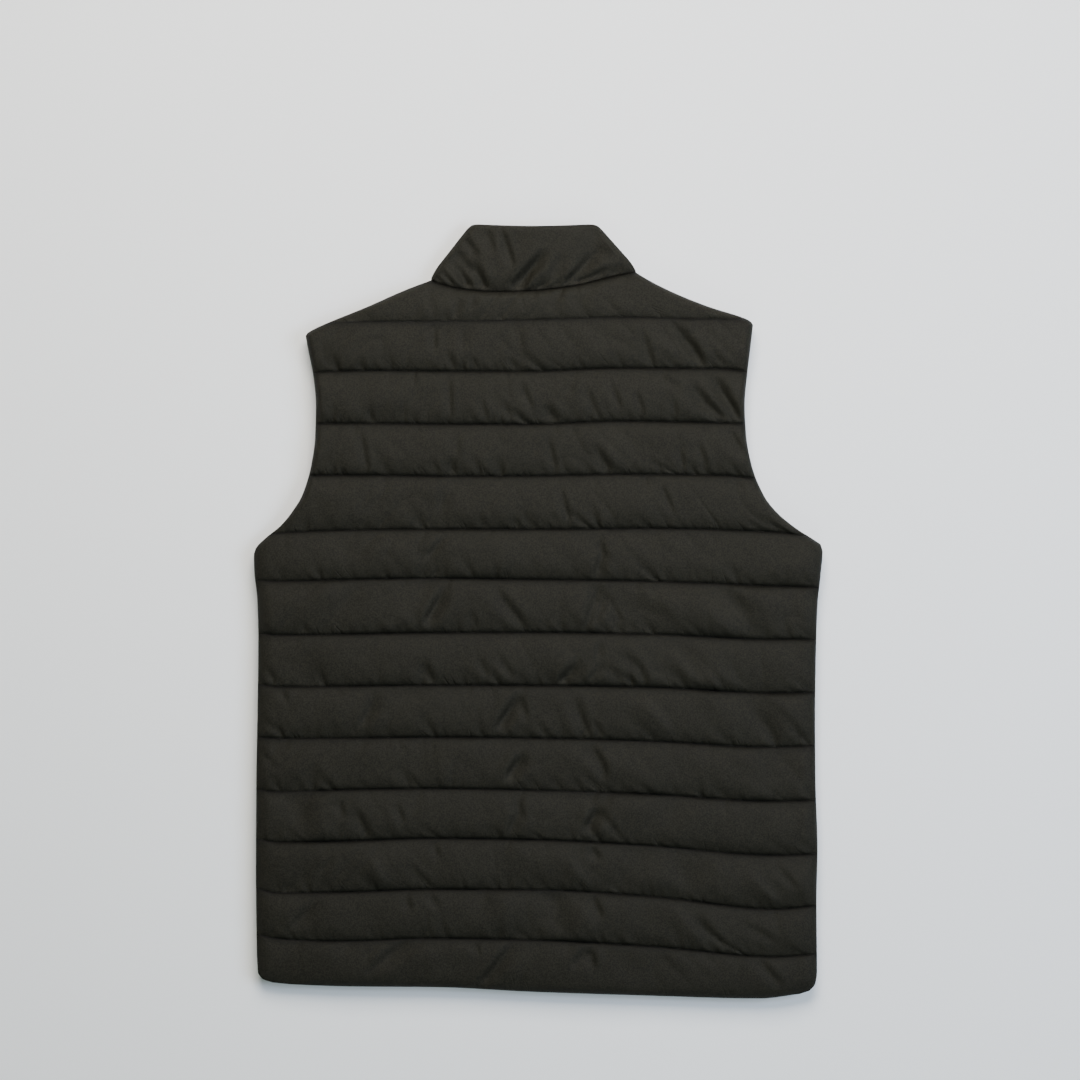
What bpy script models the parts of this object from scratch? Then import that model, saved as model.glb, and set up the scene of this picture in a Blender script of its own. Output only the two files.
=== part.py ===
"""A quilted puffer vest with a stand collar, zipped shut and laid on its front.

X runs across the vest, +Y from the hem to the collar, and +Z up from the surface that it
lies on. The origin is the middle of the footprint, on that surface. Sizes are written in
millimetres and scaled to metres where a mesh is made.
"""
import math
from bisect import bisect_right

import bmesh
import bpy
from mathutils import Matrix, Vector

MM = 0.001
SEAM_GAP = 0.3

# Layers, from the surface up.
FRONT_TOP = 12.7                      # the fronts' plain inner side
BACK_INNER = FRONT_TOP + SEAM_GAP     # the back's plain inner side
EDGE_WALL = 2.6                       # a panel's thickness where it is turned and sewn
SEAM_RISE = 3.4                       # what the wadding keeps at a stitch line
PUFF_RISE = 8.0                       # how far a channel rises between its stitch lines
ROUND_SIDE = 20.0                     # how far in from a side seam the padding is full
ROUND_EDGE = 12.0                     # the same at armholes, shoulders, neck and hem

# Zip, closed, on the fronts' outer side.
ZIP_X = -3.0
TAPE_WIDTH = 6.9
TAPE_Z = (6.6, 7.6)
CHAIN_WIDTH = 5.6
CHAIN_Z = (4.6, 6.3)
FRONT_EDGE_X = TAPE_WIDTH + SEAM_GAP       # from the zip's line to a front's edge
FRONT_EDGE_Z = 4.0                         # underside of a front beside the zip
NECK_BASE_Y = 232.0                        # where the front neckline meets the zip
COLLAR_HEIGHT = 60.0                       # up the zip
HEM_LIFT = 4.0                             # how much shorter the fronts are than the back
ARMHOLE_SCOOP = 8.0                        # how much deeper the fronts are cut at the armhole

ZIP_BOTTOM = -368.0
ZIP_TOP = NECK_BASE_Y + COLLAR_HEIGHT - 2.0
SLIDER_Y = ZIP_TOP - 8.0
SLIDER_LENGTH = 11.0
SLIDER_WIDTH = 9.0
SLIDER_PLATE = 1.0
SLIDER_POST_WIDTH = 2.4
SLIDER_POST_LENGTH = 2.6
PIN_Y = SLIDER_Y - 1.0
PIN_Z = 1.6
PIN_RADIUS = 0.5
EYE_RADIUS = 0.6
HEAD_RADIUS = 1.3
HEAD_HALF = 2.2
EAR_WALL = 1.0
EAR_GAP = 0.3
PULL_LENGTH = 24.0
PULL_WIDTH = 5.0
PULL_WALL = 1.6

# Collar.
COLLAR_WALL = 7.0
COLLAR_EDGE = 3.0
COLLAR_LIFT = 1.1                     # how far its two layers part above the neck seam
COLLAR_SAG = 4.0
NECK_POINT = (-105.4, 325.4), (95.6, 333.2)      # where collar, back and shoulder meet
COLLAR_CORNER = (-67.1, 380.2), (58.3, 380.2)    # the ends of the collar's top edge

# Side edges of the back, as (height, distance across), from the hem's corner to the neck.
LEFT_SIDE = [(-363.6, -261.2), (-360.0, -271.0), (-352.8, -275.4), (-331.0, -276.4), (-252.8, -277.3),
             (-164.6, -276.9), (-105.8, -275.9), (-27.4, -274.9), (11.8, -275.9), (39.2, -278.8),
             (54.9, -279.3), (62.7, -277.3)]
LEFT_ARMHOLE = [(62.7, -277.3), (70.6, -270.0), (85.3, -252.4), (100.0, -240.6), (114.7, -231.8),
                (144.0, -223.0), (173.5, -219.0), (202.9, -218.5), (232.3, -221.0), (256.8, -225.9),
                (272.4, -228.8)]
LEFT_SHOULDER = [(272.4, -228.8), (276.4, -222.5), (299.9, -167.0), (317.5, -126.9), (325.4, -105.4)]
RIGHT_SIDE = [(-374.9, 256.3), (-371.4, 266.0), (-363.6, 272.0), (-352.8, 273.4), (-282.2, 272.9),
              (-233.2, 273.9), (-164.6, 271.9), (-105.8, 271.5), (-37.2, 272.4), (6.9, 273.9),
              (36.3, 276.9), (58.8, 278.8), (65.2, 277.3)]
RIGHT_ARMHOLE = [(65.2, 277.3), (70.6, 270.0), (85.3, 248.4), (100.0, 231.8), (114.7, 221.0),
                 (144.0, 209.2), (173.5, 203.8), (202.9, 202.4), (232.3, 204.8), (261.7, 208.3),
                 (282.2, 210.7)]
RIGHT_SHOULDER = [(282.2, 210.7), (285.7, 207.3), (299.9, 166.0), (311.6, 136.7), (323.4, 112.2),
                  (333.2, 95.6)]

# Heights of the hem, the thirteen stitch lines and the neck seam at these shares of the width.
STATIONS = (0.0, 0.04, 0.15, 0.31, 0.5, 0.7, 0.925, 1.0)
LINES = [
    ("hem", (-363.6, -365.5, -367.5, -368.2, -372.9, -376.3, -379.3, -374.9)),
    ("stitch_1", (-315.6, -320.0, -322.4, -319.5, -321.4, -327.3, -337.6, -334.7)),
    ("stitch_2", (-270.5, -275.1, -274.4, -271.5, -272.0, -278.1, -290.9, -287.6)),
    ("stitch_3", (-222.0, -225.4, -224.4, -221.5, -223.0, -228.7, -238.0, -236.7)),
    ("stitch_4", (-173.5, -175.8, -174.0, -172.7, -174.4, -178.2, -185.1, -183.8)),
    ("stitch_5", (-122.5, -123.5, -123.3, -122.5, -123.3, -126.2, -132.1, -130.3)),
    ("stitch_6", (-70.6, -73.0, -72.5, -71.5, -71.8, -73.4, -79.1, -78.4)),
    ("stitch_7", (-20.6, -22.2, -21.6, -20.1, -19.8, -21.4, -26.5, -26.5)),
    ("stitch_8", (31.4, 30.5, 31.9, 33.3, 32.0, 30.4, 25.6, 24.5)),
    ("stitch_9", (77.2, 78.6, 80.5, 81.4, 81.3, 82.3, 79.0, 75.0)),
    ("stitch_10", (134.0, 134.3, 134.3, 133.3, 133.6, 135.2, 134.1, 131.0)),
    ("stitch_11", (184.7, 184.9, 185.2, 184.2, 184.2, 187.2, 185.7, 184.7)),
    ("stitch_12", (235.0, 236.0, 236.9, 236.2, 236.2, 239.2, 238.8, 236.2)),
    ("stitch_13", (283.0, 284.4, 284.7, 285.3, 286.7, 289.0, 287.3, 288.1)),
    ("neck", (325.4, 322.4, 317.0, 314.3, 315.3, 320.2, 330.8, 333.2)),
]

# The largest creases: name, ends in x and y, half width and depth.
BACK_CREASES = [
    ("shoulder_upper", (115.0, 284.0), (163.0, 240.0), 8.0, 4.5),
    ("shoulder_lower", (152.0, 222.0), (196.0, 185.0), 7.0, 4.0),
    ("centre_upper", (57.0, 70.0), (58.0, 36.0), 7.0, 3.0),
    ("centre_middle", (68.0, 22.0), (46.0, -16.0), 7.0, 3.5),
    ("centre_lower", (51.0, -82.0), (64.0, -118.0), 7.0, 3.5),
    ("waist_right", (86.0, -44.0), (116.0, -70.0), 8.0, 3.5),
    ("waist_left", (-19.0, -86.0), (-46.0, -118.0), 8.0, 3.0),
    ("hem_centre", (54.0, -326.0), (60.0, -366.0), 8.0, 3.0),
]
COLLAR_CREASES = [
    ("neck_left", (-66.0, 345.0), (-50.0, 315.0), 6.0, 1.5),
    ("neck_centre", (10.0, 356.0), (-28.0, 318.0), 8.0, 2.0),
    ("neck_right", (62.0, 358.0), (24.0, 320.0), 8.0, 2.0),
]

# Shares of a channel's height and of a panel's width at which the quilting has points.
CHANNEL_STEPS = (0.0, 0.06, 0.24, 0.5, 0.76, 0.94)
EDGE_SHARES = (0.0, 0.006, 0.016, 0.03, 0.05)
BACK_COLUMNS = 31
FRONT_SHARES = (0.0, 0.012, 0.03, 0.06, 0.09, 0.3, 0.6, 0.85, 0.94, 0.975, 1.0)
NECK_STEPS = 8                        # chords round a front's half of the neck
COLLAR_BACK_STEPS = 24
COLLAR_FOLD_STEPS = 6
COLLAR_SEAM = 1.3 * SEAM_GAP
COLLAR_HEIGHTS = (0.0, 0.05, 0.14, 0.3, 0.5, 0.7, 0.86, 0.95, 1.0)


def smooth_value(points, key):
    """Value at key on a smooth line through (key, value) points that never overshoots them."""
    keys = [k for k, _ in points]
    values = [v for _, v in points]
    if key <= keys[0]:
        return values[0]
    if key >= keys[-1]:
        return values[-1]
    i = bisect_right(keys, key) - 1

    def secant(j):
        return (values[j + 1] - values[j]) / (keys[j + 1] - keys[j])

    def slope(j):
        if j == 0:
            return secant(0)
        if j == len(keys) - 1:
            return secant(j - 1)
        before, after = secant(j - 1), secant(j)
        return 0.0 if before * after <= 0 else 2 * before * after / (before + after)

    span = keys[i + 1] - keys[i]
    t = (key - keys[i]) / span
    return (values[i] * (1 + 2 * t) * (1 - t) ** 2 + slope(i) * span * t * (1 - t) ** 2
            + values[i + 1] * t * t * (3 - 2 * t) + slope(i + 1) * span * t * t * (t - 1))


def edge_x(pieces, height):
    """Where an edge made of several smooth stretches lies at this height."""
    for stretch in pieces[:-1]:
        if height <= stretch[-1][0]:
            return smooth_value(stretch, height)
    return smooth_value(pieces[-1], height)


LEFT_EDGE = (LEFT_SIDE, LEFT_ARMHOLE, LEFT_SHOULDER)
RIGHT_EDGE = (RIGHT_SIDE, RIGHT_ARMHOLE, RIGHT_SHOULDER)


def line_y(index, share):
    """Height of the hem, a stitch line or the neck seam at this share of the width."""
    return smooth_value(list(zip(STATIONS, LINES[index][1])), share)


def puff(share):
    """How full a channel is at this share of the way from one stitch line to the next."""
    return (1 - abs(2 * share - 1) ** 2.2) ** 0.6


def rounding(distance, reach):
    """A quarter round: 0 on the edge, 1 from reach inwards."""
    inwards = min(max(distance / reach, 0.0), 1.0)
    return math.sqrt(1 - (1 - inwards) ** 2)


def distance_to(path, x, y):
    """Shortest way from a point to a path of straight pieces."""
    best = math.inf
    for (ax, ay), (bx, by) in zip(path, path[1:]):
        dx, dy = bx - ax, by - ay
        t = max(0.0, min(1.0, ((x - ax) * dx + (y - ay) * dy) / (dx * dx + dy * dy)))
        best = min(best, math.hypot(x - ax - t * dx, y - ay - t * dy))
    return best


def crease_depth(creases, x, y):
    """How far creases press the cloth in at a point: soft troughs that fade at both ends."""
    depth = 0.0
    for _, (ax, ay), (bx, by), half_width, deepest in creases:
        dx, dy = bx - ax, by - ay
        length = math.hypot(dx, dy)
        along = ((x - ax) * dx + (y - ay) * dy) / length ** 2
        across = ((x - ax) * dy - (y - ay) * dx) / length
        if 0 < along < 1:
            depth += deepest * math.sin(math.pi * along) * math.exp(-(across / half_width) ** 2)
    return depth


def column_shares():
    """Shares of a panel's width for its columns: close together at both edges."""
    inner = BACK_COLUMNS + 1
    low, high = EDGE_SHARES[-1], 1 - EDGE_SHARES[-1]
    middle = [low + (high - low) * i / inner for i in range(1, inner)]
    return list(EDGE_SHARES) + middle + [1 - s for s in reversed(EDGE_SHARES)]


def material(name, colour, roughness, metallic=0.0):
    made = bpy.data.materials.new(name)
    made.use_nodes = True
    surface = made.node_tree.nodes["Principled BSDF"]
    surface.inputs["Base Color"].default_value = (*colour, 1.0)
    surface.inputs["Roughness"].default_value = roughness
    surface.inputs["Metallic"].default_value = metallic
    return made


def mesh_from(bm, name, finish=None, smooth=False):
    """Turns a bmesh in millimetres into a mesh in metres."""
    bmesh.ops.scale(bm, vec=(MM, MM, MM), verts=bm.verts)
    bmesh.ops.recalc_face_normals(bm, faces=bm.faces)
    mesh = bpy.data.meshes.new(name)
    bm.to_mesh(mesh)
    bm.free()
    if finish:
        mesh.materials.append(finish)
    if smooth:
        mesh.shade_smooth()
        mesh.set_sharp_from_angle(angle=math.radians(50))
    return mesh


def add_piece(name, data, at=(0.0, 0.0, 0.0)):
    """A piece of the vest, placed by its own origin."""
    made = bpy.data.objects.new(name, data)
    made.location = Vector(at) * MM
    made.parent = ROOT
    VEST.objects.link(made)
    return made


def add_helper(name, bm, at):
    """A shape that another piece's Boolean uses, kept out of the vest."""
    made = bpy.data.objects.new(name, mesh_from(bm, name))
    made.location = Vector(at) * MM
    made.hide_render = True
    made.display_type = "WIRE"
    CUTTERS.objects.link(made)
    return made


def combine(piece, operation, name, bm):
    """Joins or cuts a piece with a helper shape that shares its origin."""
    step = piece.modifiers.new(name, "BOOLEAN")
    step.operation = operation
    step.solver = "EXACT"
    step.object = add_helper(name, bm, piece.location / MM)


def shaped_grid(columns, rows, place):
    """A grid primitive whose points are moved to place(column, row)."""
    bm = bmesh.new()
    bmesh.ops.create_grid(bm, x_segments=columns, y_segments=rows, size=0.5)
    for vert in bm.verts:
        column = round((vert.co.x + 0.5) * columns)
        row = round((vert.co.y + 0.5) * rows)
        vert.co = place(column, row)
    return bm


def close_on_plane(bm, height):
    """Drops the open border of a panel's outer side to a plane and fills that plane in."""
    border = [e for e in bm.edges if e.is_boundary]
    extruded = bmesh.ops.extrude_edge_only(bm, edges=border)["geom"]
    for vert in extruded:
        if isinstance(vert, bmesh.types.BMVert):
            vert.co.z = height
    rim = [e for e in extruded if isinstance(e, bmesh.types.BMEdge) and e.is_boundary]
    bmesh.ops.holes_fill(bm, edges=rim, sides=0)


def panel_rows(line_count):
    """(lower line, share up the channel) for each row of points, from the hem up."""
    rows = [(line, step) for line in range(line_count - 1) for step in CHANNEL_STEPS]
    return rows + [(line_count - 2, 1.0)]


def back_point(line, step, share):
    """A point of the back in plan, from its channel, its share up it and across it."""
    def height(at):
        low, high = line_y(line, at), line_y(line + 1, at)
        return low + (high - low) * step

    left = edge_x(LEFT_EDGE, height(0.0))
    right = edge_x(RIGHT_EDGE, height(1.0))
    return left + (right - left) * share, height(share)


def make_back(finish):
    """The back: fourteen padded channels over a plain inside, thin where it is sewn."""
    shares = column_shares()
    rows = panel_rows(len(LINES))
    plan = [[back_point(line, step, share) for share in shares] for line, step in rows]
    left, right = [r[0] for r in plan], [r[-1] for r in plan]
    side_rows = sum(1 for r in left if r[1] <= LEFT_SIDE[-1][0])
    sides = left[:side_rows], right[:side_rows]
    others = plan[0], left[side_rows - 1:], right[side_rows - 1:], plan[-1]

    def place(column, row):
        x, y = plan[row][column]
        full = min(rounding(distance_to(path, x, y), ROUND_SIDE) for path in sides)
        full *= min(rounding(distance_to(path, x, y), ROUND_EDGE) for path in others)
        rise = SEAM_RISE + PUFF_RISE * puff(rows[row][1]) - crease_depth(BACK_CREASES, x, y)
        return Vector((x, y, BACK_INNER + EDGE_WALL + max(rise, 0.5) * full))

    bm = shaped_grid(len(shares) - 1, len(rows) - 1, place)
    close_on_plane(bm, BACK_INNER)
    return add_piece("back", mesh_from(bm, "back", finish, smooth=True))


def neckline(side):
    """The front's neck edge, a quarter ellipse from the zip to the neck point, in plan."""
    edge_at = ZIP_X + side * FRONT_EDGE_X
    neck_x, neck_y = collar_fold(side, 0.0)
    path = []
    for i in range(NECK_STEPS + 1):
        angle = math.pi / 2 * i / NECK_STEPS
        path.append((edge_at + (neck_x - edge_at) * math.sin(angle),
                     neck_y - (neck_y - NECK_BASE_Y) * math.cos(angle)))
    return path


def front_rows(side):
    """Both ends of each row of points across a front, in plan, from the hem up."""
    edge = LEFT_EDGE if side < 0 else RIGHT_EDGE
    heights = [key for stretch in edge[:2] for key, _ in stretch if key <= NECK_BASE_Y]
    underarm, shoulder, neck = edge[1][0][0], edge[1][-1][0], edge[2][-1][0]
    heights += [NECK_BASE_Y + (shoulder - NECK_BASE_Y) * i / 4 for i in range(5)]
    heights += [edge[2][1][0]] + [shoulder + (neck - shoulder) * i / 3 for i in (1, 2, 3)]
    heights = sorted(set(heights))
    hem, centre_hem = heights[0], LINES[0][1][4] + HEM_LIFT
    below = len(heights) - NECK_STEPS - 1
    rows = []
    for i, height in enumerate(heights):
        across = edge_x(edge, height)
        up = (height - underarm) / (shoulder - underarm)
        if 0 < up < 1:
            across -= side * ARMHOLE_SCOOP * math.sin(math.pi * up)
        if i < below:
            raised = height + HEM_LIFT * (NECK_BASE_Y - height) / (NECK_BASE_Y - hem)
            inner_y = centre_hem + (NECK_BASE_Y - centre_hem) * (height - hem) / (NECK_BASE_Y - hem)
            rows.append(((across, raised), (ZIP_X + side * FRONT_EDGE_X, inner_y)))
        else:
            rows.append(((across, height), neckline(side)[i - below]))
    return rows


def make_front(name, side, finish):
    """One front: flat where it rests, thin at its sewn edges, cut deeper at the armhole."""
    ends = front_rows(side)
    plan = [[(ax + (bx - ax) * s, ay + (by - ay) * s) for s in FRONT_SHARES] for (ax, ay), (bx, by) in ends]
    sewn = [row[0] for row in plan]
    neck = [row[-1] for row in plan[-NECK_STEPS - 1:]]
    zipped = [row[-1] for row in plan[:-NECK_STEPS]]
    below_seam = FRONT_TOP - EDGE_WALL

    def place(column, row):
        x, y = plan[row][column]
        lift = below_seam * (1 - rounding(distance_to(sewn, x, y), ROUND_SIDE))
        for path in (plan[0], neck):
            lift = max(lift, below_seam * (1 - rounding(distance_to(path, x, y), ROUND_EDGE)))
        beside_zip = FRONT_EDGE_Z * (1 - rounding(distance_to(zipped, x, y), ROUND_EDGE))
        return Vector((x, y, max(lift, beside_zip)))

    bm = shaped_grid(len(FRONT_SHARES) - 1, len(plan) - 1, place)
    close_on_plane(bm, FRONT_TOP)
    return add_piece(name, mesh_from(bm, name, finish, smooth=True))


def collar_fold(side, up):
    """Where the collar folds over from back to front, in plan, from its seam (0) to its top (1)."""
    seam, corner = (NECK_POINT[0], COLLAR_CORNER[0]) if side < 0 else (NECK_POINT[1], COLLAR_CORNER[1])
    turn_seam = (COLLAR_EDGE + 0.6) * side
    turn_top = (COLLAR_WALL + 1.5) * side
    seam_x, corner_x = seam[0] - turn_seam, corner[0] - turn_top
    return seam_x + (corner_x - seam_x) * up, seam[1] + (corner[1] - seam[1]) * up


def collar_line(up):
    """The collar's mid line at this share of its height: (x, y, z, direction out of the cloth)."""
    folds = collar_fold(-1, up), collar_fold(1, up)
    half = collar_half_wall(up)
    back_z = BACK_INNER + COLLAR_LIFT * min(up / 0.22, 1.0) + half
    front_z = FRONT_TOP - COLLAR_LIFT * min(up / 0.22, 1.0) - half
    back_layer = []
    for i in range(COLLAR_BACK_STEPS + 1):
        share = i / COLLAR_BACK_STEPS
        x = folds[0][0] + (folds[1][0] - folds[0][0]) * share
        seam_x = collar_fold(-1, 0)[0] + (collar_fold(1, 0)[0] - collar_fold(-1, 0)[0]) * share
        neck_share = (seam_x - NECK_POINT[0][0]) / (NECK_POINT[1][0] - NECK_POINT[0][0])
        seam_y = line_y(len(LINES) - 1, neck_share) + COLLAR_SEAM
        top_y = COLLAR_CORNER[0][1] - 1.9 * math.sin(math.pi * share)
        sag = COLLAR_SAG * up * math.sin(math.pi * share) ** 2
        back_layer.append((x, seam_y + (top_y - seam_y) * up, back_z - sag, Vector((0, 0, 1))))

    def wing(side):
        fold_x, fold_y = folds[0] if side < 0 else folds[1]
        fold_y += COLLAR_SEAM * (1 - up)
        radius, middle = (back_z - front_z) / 2, (back_z + front_z) / 2
        made = []
        for i in range(1, COLLAR_FOLD_STEPS):
            angle = math.pi * i / COLLAR_FOLD_STEPS
            out = Vector((side * math.sin(angle), 0, math.cos(angle)))
            made.append((fold_x + radius * out.x, fold_y, middle + radius * out.z, out))
        edge = ZIP_X + side * FRONT_EDGE_X
        reach = fold_x - edge - side * COLLAR_SEAM * (1 - up)
        base_y = NECK_BASE_Y + COLLAR_SEAM + COLLAR_HEIGHT * up
        for i in range(NECK_STEPS, -1, -1):
            angle = math.pi / 2 * i / NECK_STEPS
            y = fold_y - (fold_y - base_y) * math.cos(angle)
            made.append((edge + reach * math.sin(angle), y, front_z, Vector((0, 0, -1))))
        return made

    return wing(-1)[::-1] + back_layer + wing(1)


def collar_half_wall(up):
    """Half the collar's thickness: thin at its seam, full between, rounded at the top edge."""
    full = min(rounding(up, 0.22), rounding(1 - up, 0.1) * 0.8 + 0.2)
    return (COLLAR_EDGE + (COLLAR_WALL - COLLAR_EDGE) * full) / 2


def make_collar(finish):
    """The collar: one padded band round the neck, folded at both sides, open at the zip."""
    lines = [collar_line(up) for up in COLLAR_HEIGHTS]
    ring = [(i, 1) for i in range(len(COLLAR_HEIGHTS))]
    ring += [(i, -1) for i in reversed(range(len(COLLAR_HEIGHTS)))]
    ring.append(ring[0])

    def place(column, row):
        level, face = ring[row]
        x, y, z, out = lines[level][column]
        half = collar_half_wall(COLLAR_HEIGHTS[level])
        if face > 0 and out.z == 1:
            half -= crease_depth(COLLAR_CREASES, x, y)
        return Vector((x, y, z)) + out * half * face

    bm = shaped_grid(len(lines[0]) - 1, len(ring) - 1, place)
    bmesh.ops.remove_doubles(bm, verts=bm.verts, dist=1e-4)
    ends = [e for e in bm.edges if e.is_boundary]
    bmesh.ops.holes_fill(bm, edges=ends, sides=0)
    return add_piece("collar", mesh_from(bm, "collar", finish, smooth=True))


def block(x_range, y_range, z_range):
    """A box primitive between these limits."""
    bm = bmesh.new()
    bmesh.ops.create_cube(bm, size=1.0)
    for vert in bm.verts:
        vert.co = Vector(pair[vert.co[i] > 0] for i, pair in enumerate((x_range, y_range, z_range)))
    return bm


def round_corners(bm, radius, segments, chosen):
    """Rounds the upright edges whose middle passes the test."""
    upright = [e for e in bm.edges if abs(e.verts[0].co.z - e.verts[1].co.z) > 0.5
               and chosen((e.verts[0].co + e.verts[1].co) / 2)]
    bmesh.ops.bevel(bm, geom=upright, offset=radius, segments=segments, affect="EDGES", profile=0.5)
    return bm


def rod_across(radius, half_length, sides=28):
    """A cylinder primitive along X."""
    bm = bmesh.new()
    turned = Matrix.Rotation(math.pi / 2, 4, "Y")
    bmesh.ops.create_cone(bm, cap_ends=True, segments=sides, radius1=radius, radius2=radius,
                          depth=2 * half_length, matrix=turned)
    return bm


def make_tape(name, side, finish):
    """One woven tape of the zip, which steps aside for the slider's post near its top."""
    middle, aside = SEAM_GAP / 2, SLIDER_POST_WIDTH / 2 + 0.4
    post_y = SLIDER_Y + SLIDER_LENGTH / 2 - SLIDER_POST_LENGTH
    corners = [(middle, ZIP_BOTTOM), (TAPE_WIDTH, ZIP_BOTTOM), (TAPE_WIDTH, ZIP_TOP), (aside, ZIP_TOP),
               (aside, post_y - 0.5), (middle, post_y - 2.0)]
    curve = bpy.data.curves.new(name, "CURVE")
    curve.dimensions = "2D"
    curve.fill_mode = "BOTH"
    curve.extrude = (TAPE_Z[1] - TAPE_Z[0]) / 2 * MM
    spline = curve.splines.new("POLY")
    spline.points.add(len(corners) - 1)
    for point, (x, y) in zip(spline.points, corners):
        point.co = (side * x * MM, y * MM, 0.0, 1.0)
    spline.use_cyclic_u = True
    curve.materials.append(finish)
    return add_piece(name, curve, (ZIP_X, 0.0, sum(TAPE_Z) / 2))


def make_chain(finish):
    """The closed chain of teeth as one bar on the tapes' outer side."""
    top = SLIDER_Y + SLIDER_LENGTH / 2 - SLIDER_POST_LENGTH - 0.6
    half_width, half_height = CHAIN_WIDTH / 2, (CHAIN_Z[1] - CHAIN_Z[0]) / 2
    bm = block((-half_width, half_width), (ZIP_BOTTOM + 3.0, top), (-half_height, half_height))
    outer = [e for e in bm.edges if abs(e.verts[0].co.y - e.verts[1].co.y) > 1.0 and e.verts[0].co.z < 0]
    bmesh.ops.bevel(bm, geom=outer, offset=0.7, segments=2, affect="EDGES", profile=0.5)
    return add_piece("zip_chain", mesh_from(bm, "zip_chain", finish), (ZIP_X, 0.0, sum(CHAIN_Z) / 2))


def make_slider(finish):
    """The slider: two plates joined by a post, and two ears that carry the pull's pin."""
    half_width, half_length = SLIDER_WIDTH / 2, SLIDER_LENGTH / 2
    middle_y = SLIDER_Y - PIN_Y
    outer_z = CHAIN_Z[0] - SEAM_GAP - PIN_Z
    inner_z = TAPE_Z[1] + SEAM_GAP - PIN_Z
    ends = (middle_y - half_length, middle_y + half_length)
    sides = (-half_width, half_width)
    half_post = SLIDER_POST_WIDTH / 2

    def plate(low_z):
        return round_corners(block(sides, ends, (low_z, low_z + SLIDER_PLATE)), 2.0, 3, lambda at: True)

    outer = mesh_from(plate(outer_z - SLIDER_PLATE), "zip_slider", finish)
    slider = add_piece("zip_slider", outer, (ZIP_X, PIN_Y, PIN_Z))
    combine(slider, "UNION", "inner_plate", plate(inner_z))
    post = block((-half_post, half_post), (ends[1] - SLIDER_POST_LENGTH, ends[1] - 0.2),
                 (outer_z - 0.8, inner_z + 0.8))
    combine(slider, "UNION", "post", post)
    near, far = HEAD_HALF + EAR_GAP, HEAD_HALF + EAR_GAP + EAR_WALL
    for name, across in (("ear_left", (-far, -near)), ("ear_right", (near, far))):
        combine(slider, "UNION", name, block(across, (-HEAD_RADIUS, HEAD_RADIUS), (-1.2, outer_z - 0.2)))
    combine(slider, "UNION", "pin", rod_across(PIN_RADIUS, near + EAR_WALL / 2))
    return slider


def make_pull(finish):
    """The pull tab: a flat blade on a head that turns round the slider's pin."""
    wall = (-HEAD_RADIUS, -HEAD_RADIUS + PULL_WALL)
    head = mesh_from(rod_across(HEAD_RADIUS, HEAD_HALF), "zip_pull", finish)
    pull = add_piece("zip_pull", head, (ZIP_X, PIN_Y, PIN_Z))
    blade = block((-PULL_WIDTH / 2, PULL_WIDTH / 2), (-PULL_LENGTH, -2 * HEAD_RADIUS), wall)
    round_corners(blade, 1.8, 4, lambda at: at.y < -PULL_LENGTH / 2)
    combine(pull, "UNION", "pull_neck", block((-HEAD_HALF, HEAD_HALF), (-2 * HEAD_RADIUS - 1.0, 0.0), wall))
    combine(pull, "UNION", "pull_blade", blade)
    combine(pull, "DIFFERENCE", "pull_eye", rod_across(EYE_RADIUS, HEAD_HALF + 1.0))
    return pull


def main():
    shell = material("olive_shell", (0.034, 0.033, 0.026), 0.5)
    woven = material("zip_tape", (0.02, 0.02, 0.017), 0.8)
    teeth = material("zip_chain", (0.015, 0.015, 0.014), 0.4)
    metal = material("zip_metal", (0.05, 0.05, 0.05), 0.35, 0.9)
    make_back(shell)
    make_front("front_left", -1, shell)
    make_front("front_right", 1, shell)
    make_collar(shell)
    make_tape("zip_tape_left", -1, woven)
    make_tape("zip_tape_right", 1, woven)
    make_chain(teeth)
    make_slider(metal)
    make_pull(metal)


for leftover in list(bpy.data.objects):
    bpy.data.objects.remove(leftover)
VEST = bpy.data.collections.new("puffer_vest")
CUTTERS = bpy.data.collections.new("cutters")
for group in (VEST, CUTTERS):
    bpy.context.scene.collection.children.link(group)
ROOT = bpy.data.objects.new("vest_origin", None)
VEST.objects.link(ROOT)
main()
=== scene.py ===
"""A quilted puffer vest with a stand collar, zipped shut and laid on its front.

Lengths are in millimetres inside the functions and become metres where a mesh is made.
"""

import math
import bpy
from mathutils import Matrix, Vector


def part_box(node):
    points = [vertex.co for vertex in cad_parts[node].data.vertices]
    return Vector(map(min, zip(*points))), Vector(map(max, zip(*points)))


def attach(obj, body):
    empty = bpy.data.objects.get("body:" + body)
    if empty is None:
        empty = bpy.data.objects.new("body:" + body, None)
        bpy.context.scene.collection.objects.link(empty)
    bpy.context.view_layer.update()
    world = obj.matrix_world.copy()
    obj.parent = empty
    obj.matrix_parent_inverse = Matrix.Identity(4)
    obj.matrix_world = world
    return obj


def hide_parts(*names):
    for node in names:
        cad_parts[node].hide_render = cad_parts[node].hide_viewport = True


bl_info = {
    "name": "Puffer Vest",
    "version": (1, 0, 0),
    "blender": (4, 5, 0),
    "location": "3D View > Sidebar > Vest",
    "description": "Makes a quilted puffer vest that is zipped shut and laid on its front",
    "category": "Object",
}

import bmesh
import bpy
import numpy as np
from bpy.props import FloatProperty, FloatVectorProperty, PointerProperty
from mathutils import Vector

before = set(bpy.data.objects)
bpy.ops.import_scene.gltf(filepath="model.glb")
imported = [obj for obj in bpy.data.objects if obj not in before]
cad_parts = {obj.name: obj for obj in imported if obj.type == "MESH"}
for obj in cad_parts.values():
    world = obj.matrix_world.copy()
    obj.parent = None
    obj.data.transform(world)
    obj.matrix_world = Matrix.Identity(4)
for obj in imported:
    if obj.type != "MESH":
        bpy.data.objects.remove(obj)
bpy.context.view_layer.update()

MM = 0.001
SEAM_GAP = 0.3
UP = np.array([0.0, 0.0, 1.0])

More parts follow.
